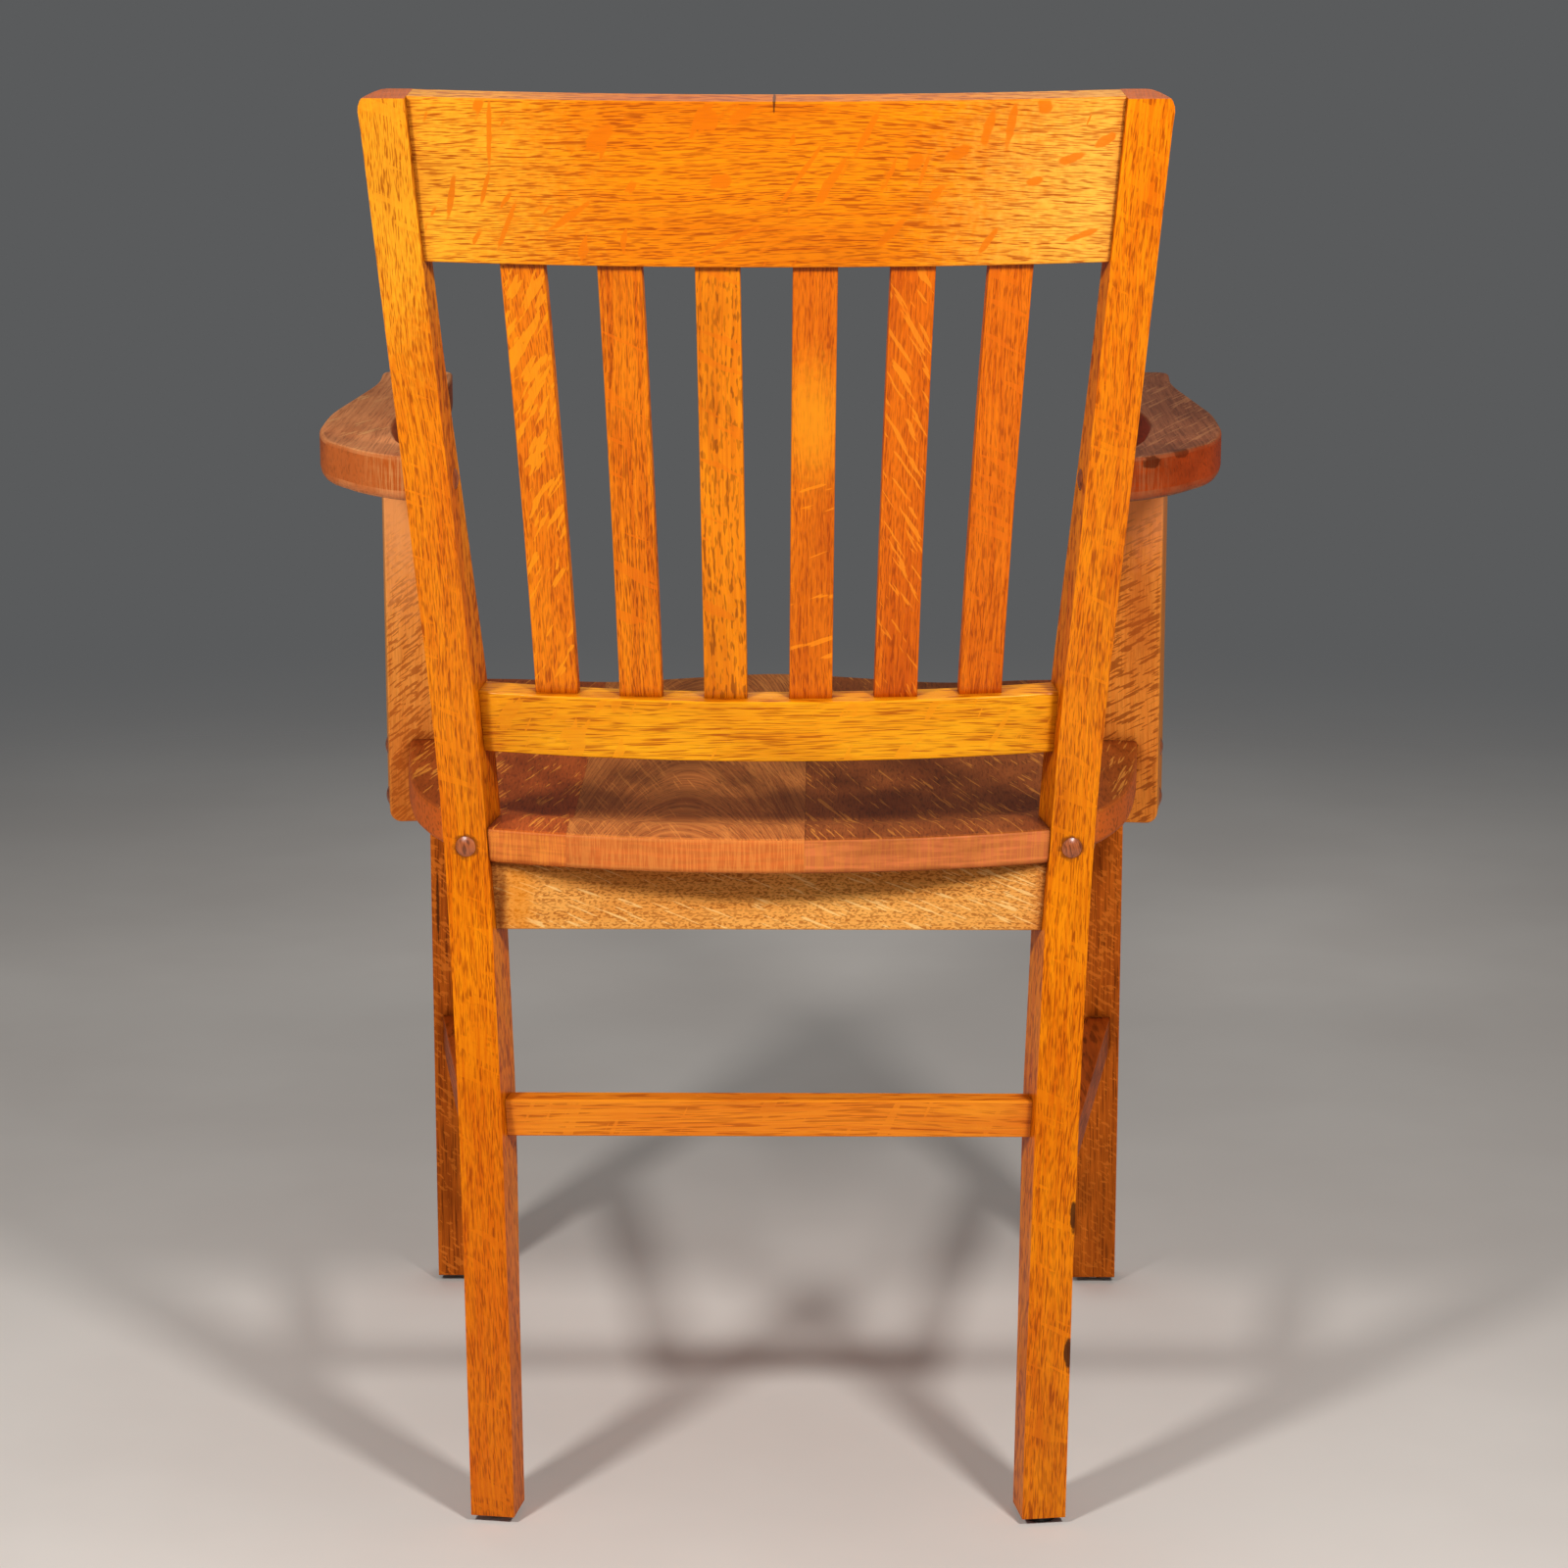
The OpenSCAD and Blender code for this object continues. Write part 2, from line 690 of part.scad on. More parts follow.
apron_low_z = seat_h - seat_t - apron_h;
apron_mid_z = apron_low_z + apron_h / 2;
rear_apron_y = post_y(apron_mid_z) + corner_back - apron_set;
front_apron_y = leg_y - leg_w / 2 + front_apron_set;

// Ends of the side apron's middle line, at the post and at the leg
side_apron_rear = post_point(apron_mid_z, (post_w - apron_t) / 2 - rail_in, post_d(apron_mid_z));
side_apron_front = [leg_x + leg_w / 2 - side_apron_set - apron_t / 2, leg_rear_y, apron_mid_z];

// Turn of a side rail from rear point r to front point f, and its way rearward
function side_angle(r, f) = atan2(f[0] - r[0], r[1] - f[1]);
function side_way(r, f) = let (a = side_angle(r, f)) [-sin(a), cos(a), 0];
apron_angle = side_angle(side_apron_rear, side_apron_front);
apron_way = side_way(side_apron_rear, side_apron_front);

// Side rail between its end points, cut to the leg and the post
module side_rail(r, f, t, low, high) {
    length = norm([r[0] - f[0], r[1] - f[1]]);
    difference() {
        translate([f[0], f[1], low]) rotate([0, 0, side_angle(r, f)])
            translate([-t / 2, -overrun, 0]) cube([t, length + 2 * overrun, high - low]);
        translate([-reach / 2, leg_rear_y + glue_gap - reach, -reach / 2])
            cube([reach, reach, reach]);
        post_body(glue_gap);
    }
}

module rear_apron() {
    color("wheat") difference() {
        intersection() {
            translate([-reach / 2, rear_apron_y - apron_t, apron_low_z])
                cube([reach, apron_t, 2 * apron_h]);
            below_seat();
        }
        on_both() {
            beyond_post();
            rear_apron_dowel_set(fit_gap);
        }
    }
}

module front_apron() {
    half = leg_x - leg_w / 2 - glue_gap;
    color("burlywood") difference() {
        intersection() {
            translate([-half, front_apron_y, apron_low_z]) cube([2 * half, apron_t, 2 * apron_h]);
            below_seat();
        }
        on_both() front_apron_dowel_set(fit_gap);
    }
}

module side_apron(side) {
    color("burlywood") on_side(side) difference() {
        intersection() {
            side_rail(side_apron_rear, side_apron_front, apron_t, apron_low_z, seat_h);
            below_seat();
        }
        side_apron_dowel_set(fit_gap);
        support_holes();
    }
}

// Stretchers

rear_stretcher_mid_z = rear_stretcher_z + stretcher_h / 2;
rear_stretcher_y = post_y(rear_stretcher_mid_z) + corner_back - stretcher_set;
side_stretcher_mid_z = side_stretcher_z + stretcher_h / 2;
side_stretcher_rear = post_point(side_stretcher_mid_z,
                                 (post_w - stretcher_t) / 2 - side_stretcher_in,
                                 post_d(side_stretcher_mid_z));
side_stretcher_front = [
    leg_x + leg_w / 2 - side_stretcher_set - stretcher_t / 2, leg_rear_y, side_stretcher_mid_z
];

module rear_stretcher() {
    color("peru") difference() {
        translate([-reach / 2, rear_stretcher_y - stretcher_t, rear_stretcher_z])
            cube([reach, stretcher_t, stretcher_h]);
        on_both() {
            beyond_post();
            stretcher_dowel_set(fit_gap);
        }
    }
}

module side_stretcher(side) {
    color("saddlebrown") on_side(side) difference() {
        side_rail(side_stretcher_rear, side_stretcher_front, stretcher_t,
                  side_stretcher_z, side_stretcher_z + stretcher_h);
        stretcher_dowel_set(fit_gap);
    }
}

// Corner blocks

// A block is its corner point, its ways along both aprons, and the corner that its screw enters
function apron_inner_x(y) =
    side_apron_front[0] - apron_t / 2 / cos(apron_angle) + (leg_rear_y - y) * tan(apron_angle);
function block_at(y, way, target) =
    [[apron_inner_x(y), y, apron_mid_z] + glue_gap * ([-1, 0, 0] + way), way, target];
front_block = block_at(front_apron_y + apron_t, apron_way,
                       [leg_x - leg_w / 2, leg_rear_y, apron_mid_z]);
rear_block = block_at(rear_apron_y - apron_t, -apron_way,
                      post_point(apron_mid_z, -post_w / 2, post_d(apron_mid_z)));
function block_place(b, s) = b[0] + block_w * (s[0] * [-1, 0, 0] + s[1] * b[1]);
function block_out(b) = ([-1, 0, 0] + b[1]) / norm([-1, 0, 0] + b[1]);
function block_deep(b) = (block_place(b, [0.5, 0.5]) - b[2]) * block_out(b);

module block_screw_hole(b) {
    screw_hole(b[2] + block_deep(b) * block_out(b), block_out(b), 0,
               block_deep(b) + block_screw_hold, screw_head_d);
}

module block_screw(b) {
    screw(b[2] + block_deep(b) * block_out(b), block_out(b), 0, block_deep(b) + block_screw_hold);
}

// Foot of the screw that rises through a block into the seat
function seat_screw_foot(b) =
    let (p = block_place(b, seat_screw_shares)) [p[0], p[1], under_z(b[0][1]) - block_h];
function seat_screw_length(b) =
    under_z(seat_screw_foot(b)[1]) - seat_screw_foot(b)[2] + seat_screw_hold;

module seat_screw_hole(b) {
    screw_hole(seat_screw_foot(b), [0, 0, -1], 0, seat_screw_length(b), screw_head_d);
}

module seat_screw(b) {
    screw(seat_screw_foot(b), [0, 0, -1], 0, seat_screw_length(b));
}

module corner_block(b, side) {
    a = block_place(b, [1, 0]);
    c = block_place(b, [0, 1]);
    color("tan") on_side(side) difference() {
        intersection() {
            translate([0, 0, seat_screw_foot(b)[2]]) linear_extrude(height = 2 * block_h)
                polygon([[b[0][0], b[0][1]], [a[0], a[1]], [c[0], c[1]]]);
            below_seat();
        }
        post_body(glue_gap);
        leg_body(glue_gap);
        block_screw_hole(b);
        seat_screw_hole(b);
    }
}

// Arms and their supports

arm_z = arm_h - arm_t / 2;
arm_o = post_point(arm_z, post_w / 2, 0);
arm_rear_in = post_point(arm_z, post_w / 2 - arm_in, arm_in);
arm_front_in = post_point(arm_z, post_w / 2 - arm_in / 2, post_d(arm_z) - arm_in / 2);

// Outlines of the arm: outer from the post forward, then inner from the front end back
outer_shares = [
    [0.04, 0.02], [0.175, 0.032], [0.445, 0.077], [0.66, 0.13], [0.85, 0.19], [0.97, 0.285],
    [1, 0.37], [1, 0.486], [0.94, 0.6], [0.875, 0.713], [0.825, 0.804], [0.81, 0.88], [0.84, 0.975]
];
inner_shares = [
    [0.11, 0.975], [0.07, 0.88], [0.08, 0.79], [0.14, 0.69], [0.24, 0.58], [0.32, 0.485],
    [0.345, 0.4], [0.305, 0.31], [0.19, 0.194]
];
function arm_points(list) =
    [for (s = list) [arm_o[0] + s[0] * arm_reach, -s[1] * arm_len]];
arm_outer = spline(arm_points(outer_shares));
arm_inner = spline(arm_points(inner_shares));
outer_end_x = arm_outer[len(arm_outer) - 1][0];
inner_end_x = arm_inner[0][0];
arm_outline = concat(
    [[arm_rear_in[0], arm_rear_in[1] - arm_o[1]]],
    arm_outer,
    arc([outer_end_x - arm_end_r, arm_end_r - arm_len], arm_end_r, 0, -90, corner_steps),
    arc([inner_end_x + arm_end_r, arm_end_r - arm_len], arm_end_r, -90, -180, corner_steps),
    arm_inner,
    [[arm_front_in[0], arm_front_in[1] - arm_o[1]]]
);

// Frame of the arm: origin level with its top, at the post's rear corner
module arm_frame() {
    leaning([0, arm_o[1], arm_h], arm_tilt_angle) children();
}

module arm(side) {
    color("sienna") on_side(side) difference() {
        arm_frame() translate([0, 0, -arm_t]) linear_extrude(height = arm_t)
            polygon(arm_outline);
        post_body(glue_gap);
        arm_post_hole();
        arm_dowel_set(fit_gap);
    }
}

// Middle of the support's inner face, on the side apron's outer face
support_y = support_front_y + support_w / 2;
support_x = side_apron_front[0] + apron_t / 2 / cos(apron_angle)
    + (leg_rear_y - support_y) * tan(apron_angle);
support_out = [cos(apron_angle), sin(apron_angle), 0];

// The left support, grown by g all round, up to the underside of the arm
module support_body(g = 0) {
    low_z = apron_low_z + support_rise - g;
    inner_x = glue_gap - g;
    outer_x = support_t + g;
    profile = concat(
        [[inner_x, arm_h], [inner_x, low_z]],
        arc([outer_x - support_r, low_z + support_r], support_r, -90, 0, corner_steps),
        [[outer_x, arm_h]]
    );
    intersection() {
        translate([support_x, support_y, 0]) rotate([90, 0, apron_angle])
            linear_extrude(height = support_w + 2 * g, center = true) polygon(profile);
        arm_frame() translate([-reach / 2, -reach / 2, -reach - arm_t - glue_gap])
            cube([reach, reach, reach]);
    }
}

module arm_support(side) {
    color("burlywood") on_side(side) difference() {
        support_body();
        support_holes();
        arm_dowel_set(fit_gap);
    }
}

// Sets of dowels, each drawn for the left side

module crest_dowel_set(g = 0) {
    for (s = crest_dowel_shares)
        dowel(post_point(post_top_z - s * crest_h * cos(back_rake_angle), -post_w / 2,
                         crest_set + crest_t / 2), post_out, dowel_d, g);
}

module rail_dowel_set(g = 0) {
    for (s = rail_dowel_shares)
        dowel(post_point(rail_z + s * rail_h, -post_w / 2, rail_set + rail_t / 2), post_out,
              small_dowel_d, g);
}

module rear_apron_dowel_set(g = 0) {
    for (s = apron_dowel_shares)
        dowel(inner_side(rear_apron_y - apron_t / 2, apron_low_z + s * apron_h), [1, 0, 0],
              small_dowel_d, g);
}

module front_apron_dowel_set(g = 0) {
    for (s = apron_dowel_shares)
        dowel([leg_x - leg_w / 2, front_apron_y + apron_t / 2, apron_low_z + s * apron_h],
              [1, 0, 0], small_dowel_d, g);
}

module side_apron_dowel_set(g = 0) {
    for (s = apron_dowel_shares, p = [side_apron_rear, side_apron_front])
        dowel([p[0], p[1], apron_low_z + s * apron_h], apron_way, small_dowel_d, g);
}

module stretcher_dowel_set(g = 0) {
    dowel(inner_side(rear_stretcher_y - stretcher_t / 2, rear_stretcher_mid_z), [1, 0, 0],
          small_dowel_d, g);
    for (p = [side_stretcher_rear, side_stretcher_front])
        dowel(p, side_way(side_stretcher_rear, side_stretcher_front), small_dowel_d, g);
}

module arm_dowel_set(g = 0) {
    for (s = arm_dowel_shares) {
        p = [support_x, support_y, 0] + support_t / 2 * support_out + s * support_w * apron_way;
        under = arm_h - arm_t / cos(arm_tilt_angle) + (arm_o[1] - p[1]) * tan(arm_tilt_angle);
        dowel([p[0], p[1], under], [0, 0, 1], dowel_d, g);
    }
}

// Plugged screws, each drawn for the left side

seat_post_p = post_point(seat_h - seat_t / 2, 0, 0);
seat_post_length = post_d(seat_h) + post_screw_hold;
arm_post_p = post_point(arm_z, -post_w / 2, arm_screw_share * post_d(arm_z));
arm_post_length = post_w + arm_screw_hold;
support_face = [support_x, support_y, 0] + support_t * support_out;
support_seat_p = support_face + [0, 0, under_z(support_y) + seat_t / 2];
support_apron_p = support_face + [0, 0, apron_low_z + apron_screw_share * apron_h];

module seat_post_hole() {
    screw_hole(seat_post_p, post_back, plug_depth, seat_post_length, plug_d);
}

module arm_post_hole() {
    screw_hole(arm_post_p, -post_out, plug_depth, arm_post_length, plug_d);
}

module support_holes() {
    screw_hole(support_seat_p, support_out, plug_depth, support_t + support_screw_hold, plug_d);
    screw_hole(support_apron_p, support_out, plug_depth, support_t + apron_screw_hold, plug_d);
}

// Glides

module shank_hole() {
    translate([0, 0, -overrun])
        cylinder(d = shank_d + 2 * fit_gap, h = overrun + glide_h + shank_h + fit_gap,
                 $fn = pin_facets);
}

module glide() {
    edge = (glide_d - glide_flat_d) / 2;
    dome = [
        for (i = [0:corner_steps]) let (t = 90 * i / corner_steps)
            [glide_flat_d / 2 + edge * sin(t), glide_h * (1 - cos(t))]
    ];
    rotate_extrude($fn = pin_facets)
        polygon(concat([[0, 0]], dome, [
            [shank_d / 2, glide_h], [shank_d / 2, glide_h + shank_h], [0, glide_h + shank_h]
        ]));
}

module glide_front(side) {
    color("silver") on_side(side) translate([leg_x, leg_y, 0]) glide();
}

module glide_rear_left() {
    color("silver") translate(foot_point) glide();
}

module pad_rear_right() {
    color("dimgray") on_side(-1) translate(foot_point) difference() {
        cylinder(d = pad_d, h = glide_h, $fn = pin_facets);
        translate([0, 0, -overrun])
            cylinder(d = nail_head_d + 2 * fit_gap, h = overrun + nail_recess + nail_head_h,
                     $fn = pin_facets);
        shank_hole();
    }
}

module pad_nail() {
    color("silver") on_side(-1) translate(foot_point) {
        translate([0, 0, nail_recess])
            cylinder(d = nail_head_d, h = nail_head_h, $fn = pin_facets);
        translate([0, 0, nail_recess])
            cylinder(d = shank_d, h = glide_h + shank_h - nail_recess, $fn = pin_facets);
    }
}

back_post(1);  // back_post_left
back_post(-1);  // back_post_right
front_leg(1);  // front_leg_left
front_leg(-1);  // front_leg_right
crest_rail();
lower_back_rail();
back_slat(1);  // back_slat_1
back_slat(2);  // back_slat_2
back_slat(3);  // back_slat_3
back_slat(4);  // back_slat_4
back_slat(5);  // back_slat_5
back_slat(6);  // back_slat_6
seat_board(1);  // seat_board_1
seat_board(2);  // seat_board_2
seat_board(3);  // seat_board_3
seat_board(4);  // seat_board_4
rear_apron();
front_apron();
side_apron(1);  // side_apron_left
side_apron(-1);  // side_apron_right
corner_block(front_block, 1);  // corner_block_front_left
corner_block(front_block, -1);  // corner_block_front_right
corner_block(rear_block, 1);  // corner_block_rear_left
corner_block(rear_block, -1);  // corner_block_rear_right
rear_stretcher();
side_stretcher(1);  // side_stretcher_left
side_stretcher(-1);  // side_stretcher_right
arm(1);  // arm_left
arm(-1);  // arm_right
arm_support(1);  // arm_support_left
arm_support(-1);  // arm_support_right
glide_front(1);  // glide_front_left
glide_front(-1);  // glide_front_right
glide_rear_left();
pad_rear_right();
pad_nail();
color("burlywood") on_both() crest_dowel_set();  // crest_dowels
color("burlywood") on_both() rail_dowel_set();  // lower_rail_dowels
color("burlywood") on_both() rear_apron_dowel_set();  // rear_apron_dowels
color("burlywood") on_both() front_apron_dowel_set();  // front_apron_dowels
color("burlywood") on_both() side_apron_dowel_set();  // side_apron_dowels
color("burlywood") on_both() stretcher_dowel_set();  // stretcher_dowels
color("burlywood") on_both() arm_dowel_set();  // arm_dowels
color("gray") on_both() screw(seat_post_p, post_back, plug_depth, seat_post_length);  // seat_post_screws
color("saddlebrown") on_both() plug(seat_post_p, post_back);  // seat_post_plugs
color("gray") on_both() screw(arm_post_p, -post_out, plug_depth, arm_post_length);  // arm_post_screws
color("saddlebrown") on_both() plug(arm_post_p, -post_out);  // arm_post_plugs
color("gray") on_both() {  // support_screws
    screw(support_seat_p, support_out, plug_depth, support_t + support_screw_hold);
    screw(support_apron_p, support_out, plug_depth, support_t + apron_screw_hold);
}
color("saddlebrown") on_both() {  // support_plugs
    plug(support_seat_p, support_out);
    plug(support_apron_p, support_out);
}
color("gray") on_both() {  // corner_block_screws
    block_screw(front_block);
    block_screw(rear_block);
}
color("gray") on_both() {  // seat_screws
    seat_screw(front_block);
    seat_screw(rear_block);
}
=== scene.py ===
import math
import random
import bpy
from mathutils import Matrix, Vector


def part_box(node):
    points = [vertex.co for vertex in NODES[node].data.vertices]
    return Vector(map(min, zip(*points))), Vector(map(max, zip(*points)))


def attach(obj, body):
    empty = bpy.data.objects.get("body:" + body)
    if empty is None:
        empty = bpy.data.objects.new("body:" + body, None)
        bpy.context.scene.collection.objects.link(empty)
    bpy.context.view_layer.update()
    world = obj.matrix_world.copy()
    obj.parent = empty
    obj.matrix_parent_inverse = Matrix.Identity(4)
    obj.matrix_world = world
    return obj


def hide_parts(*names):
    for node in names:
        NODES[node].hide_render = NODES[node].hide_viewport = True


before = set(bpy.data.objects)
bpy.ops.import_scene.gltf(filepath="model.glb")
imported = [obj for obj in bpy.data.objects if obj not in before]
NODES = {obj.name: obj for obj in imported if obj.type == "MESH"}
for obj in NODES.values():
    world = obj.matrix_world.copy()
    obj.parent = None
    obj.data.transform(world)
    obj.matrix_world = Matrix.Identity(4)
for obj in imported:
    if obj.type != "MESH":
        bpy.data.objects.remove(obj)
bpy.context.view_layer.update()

import zlib

import bmesh
import bpy
import numpy as np
from mathutils import Matrix, Vector
from mathutils.bvhtree import BVHTree
from mathutils.geometry import delaunay_2d_cdt

# The chair stands on Z = 0 and the sitter faces -Y. Lengths are in metres, but for the marks and
# streaks on the wood, which are in millimetres.
MM = 0.001
ACROSS, BACK, FRONT, UP = (1, 0, 0), (0, 1, 0), (0, -1, 0), (0, 0, 1)

# Camera, as the photograph was taken: place, angles and focal length
CAMERA_PLACE = Vector((-33.1, 2605.3, 1003)) * MM
CAMERA_PITCH = math.radians(12.2)
CAMERA_YAW = math.radians(0.55)
CAMERA_FOCUS_PX = 3990
PHOTO_WIDTH_PX = 1600
SENSOR_MM = 36
CAMERA_NEAR = 0.05

# Back posts at the seat: middle of the left one's rear face, width, depth and turn
POST_PLACE = Vector((193.75, 180.73)) * MM
POST_W = 28.5 * MM
POST_D = 40.5 * MM
POST_TURN = math.radians(8.7)
POST_OUT = Vector((math.cos(POST_TURN), -math.sin(POST_TURN)))
POST_BACK = Vector((math.sin(POST_TURN), math.cos(POST_TURN)))

# Seat, as in the part's source
SEAT_H = 449 * MM
SEAT_T = 23 * MM
SEAT_TILT = math.radians(1.4)
SEAT_DISH = 9 * MM
THIGH_DISH = 3 * MM
SEAT_RIDGE = 3 * MM
SEAT_RIM_W = 32 * MM
SEAT_HALF_W = 253.5 * MM
SEAT_FRONT_HALF_W = 272 * MM
SEAT_FRONT_BOW = 7 * MM
SEAT_CORNER_R = 26 * MM
SEAT_BACK_BOW = 29 * MM
SEAT_IN = 3 * MM
SEAT_BOARDS = 4
EAR_SHARES = [(0, 0), (0.3, 0.07), (0.57, 0.23), (0.72, 0.37), (0.88, 0.64), (1, 1)]
SIDE_FADE = (0.5, 0.88)
FRONT_FADE = (0.4, 0.95)
FRONT_RISE = (0.42, 0.95)
THIGH_SHARE = 0.5
BELL_SHARE = 0.2
FALL_SHARE = 1.7
SEAT_TOP_ROUND = 2.6 * MM
SEAT_LOW_ROUND = 4 * MM
SEAT_CELL = 6 * MM
CELL_INSET = 0.7

# Arms, as in the part's source, with the outer rear corner of the left post at the arm
ARM_START = Vector((223.65, 218.12)) * MM
ARM_H = 691 * MM
ARM_T = 28.5 * MM
ARM_LEN = 418 * MM
ARM_REACH = 68.5 * MM
ARM_TILT = math.radians(1.15)
ARM_END_R = 10 * MM
ARM_TOP_ROUND = 2.5 * MM
ARM_LOW_ROUND = 7 * MM
# How far in and forward of that corner the outline turns inside the post, rear and front
ARM_LAPS = ((4 * MM, 4 * MM), (2 * MM, 30 * MM))
OUTER_SHARES = [
    (0.04, 0.02), (0.175, 0.032), (0.445, 0.077), (0.66, 0.13), (0.85, 0.19), (0.97, 0.285),
    (1, 0.37), (1, 0.486), (0.94, 0.6), (0.875, 0.713), (0.825, 0.804), (0.81, 0.88), (0.84, 0.975),
]
INNER_SHARES = [
    (0.11, 0.975), (0.07, 0.88), (0.08, 0.79), (0.14, 0.69), (0.24, 0.58), (0.32, 0.485),
    (0.345, 0.4), (0.305, 0.31), (0.19, 0.194),
]

# Fineness of the curves
SPLINE_STEPS = 8
BOW_STEPS = 40
CORNER_STEPS = 16
ARM_END_STEPS = 8
SIDE_STEPS = 24
ROUND_STEPS = 4

# Rounding of the sawn pieces' free edges
ARRIS = 1.3 * MM
SLAT_ARRIS = 0.9 * MM
PLUG_ARRIS = 0.1 * MM
ARRIS_STEPS = 3
ARRIS_ANGLE = math.radians(32)
CONTACT = 0.45 * MM
CONTACT_SHARES = (0.2, 0.5, 0.8)
WELD = 0.01 * MM
FLAT_ANGLE = math.radians(0.5)
SHARP_ANGLE = math.radians(34)

# How far cutters reach below and above a slab, in its thicknesses
CUT_BELOW, CUT_ABOVE = 3, 2

# The share of a leaning piece's height that is taken as its end
END_SHARE = 0.05

# How squarely the grain meets a face that starts to be end grain and one that is, and the same
# of the rays' axis and a ray face
END_CUT = (0.6, 0.8)
RAY_CUT = (0.45, 0.85)

# How far apart pieces can lie in the tree
GRAIN_SPREAD = 3

# The oak's noises, in cycles per metre across the rings, across the rays and along the grain, and
# the values of the noise, which are mostly from 0.3 to 0.7, between which each comes in
DRIFT_SCALE, DRIFT_SWING = (9, 9, 2.2), 30 * MM
LINE_LIMITS = (0.38, 0.62)
BROAD_SCALE, BROAD_LIMITS = (30, 30, 7), (0.34, 0.66)
FLECK_DRIFT_SCALE, FLECK_DRIFT_SWING, FLECK_SOFT = (16, 16, 9), 0.24, 0.035
RAY_SCALE, RING_SCALE, END_LIMITS = (850, 40, 40), (30, 330, 30), (0.42, 0.6)
STAIN_SCALE, STAIN_LIMITS = (15, 15, 6), (0.48, 0.72)
WEAR_AND_HIGHLIGHT_SCALE, WEAR_AND_HIGHLIGHT_LIMITS = (60, 60, 25), (0.35, 0.6)
HAZE_SCALE = (40, 40, 20)

# How strongly the parts of the oak show, as shares
EDGE_SHARE = 0.85
LINE_PORES = 0.5
FLECK_BARE = 0.85
END_RINGS, END_RAYS = 0.3, 0.35
WEAR_AND_HIGHLIGHT_SWING, WEAR_AND_HIGHLIGHT_LEAST = 0.35, 0.1
HAZE_SWING = 0.16
HAZE_DENT, PORE_DENT = 0.6, 0.5

# The wood under the varnish, and how deeply and how strongly haze and pores roughen it
OAK_ROUGH, OAK_SPECULAR = 0.5, 0.03
OAK_DENT, OAK_DENT_SHARE = 0.14 * MM, 0.5

# Painted shade in nooks, in joints and under overhangs: reach, the openness at which the painted
# shade is full, and its strength. It ends at the openness NOOK_OPEN.
NOOKS = ((8 * MM, 0.34, 1), (38 * MM, 0.2, 0.6))
NOOK_OPEN = 0.88
NOOK_SAMPLES = 3

# Marks and streaks: how finely and how far their edges are ragged, and where they fade, both as
# shares of their radii
SPOT_RAGS, SPOT_SWING, SPOT_SOFT, SPOT_CRISP = 260, 0.8, (0.1, 1.2), (0.7, 1)
STREAK_RAGS, STREAK_SWING, STREAK_FADE = 180, 0.9, (0.75, 1.1)


def srgb(r, g, b):
    """A colour written as on a screen, from 0 to 255, as the light values that shaders take."""
    def linear(v):
        v /= 255
        return v / 12.92 if v <= 0.04045 else ((v + 0.055) / 1.055) ** 2.4
    return (linear(r), linear(g), linear(b), 1)


def smooth(a, b, v):
    t = min(max((v - a) / (b - a), 0), 1)
    return t * t * (3 - 2 * t)


def bell(v, w):
    return math.exp(-((v / w) ** 2))


def bow_radius(half, rise):
    return (half * half + rise * rise) / (2 * rise)


# Node trees

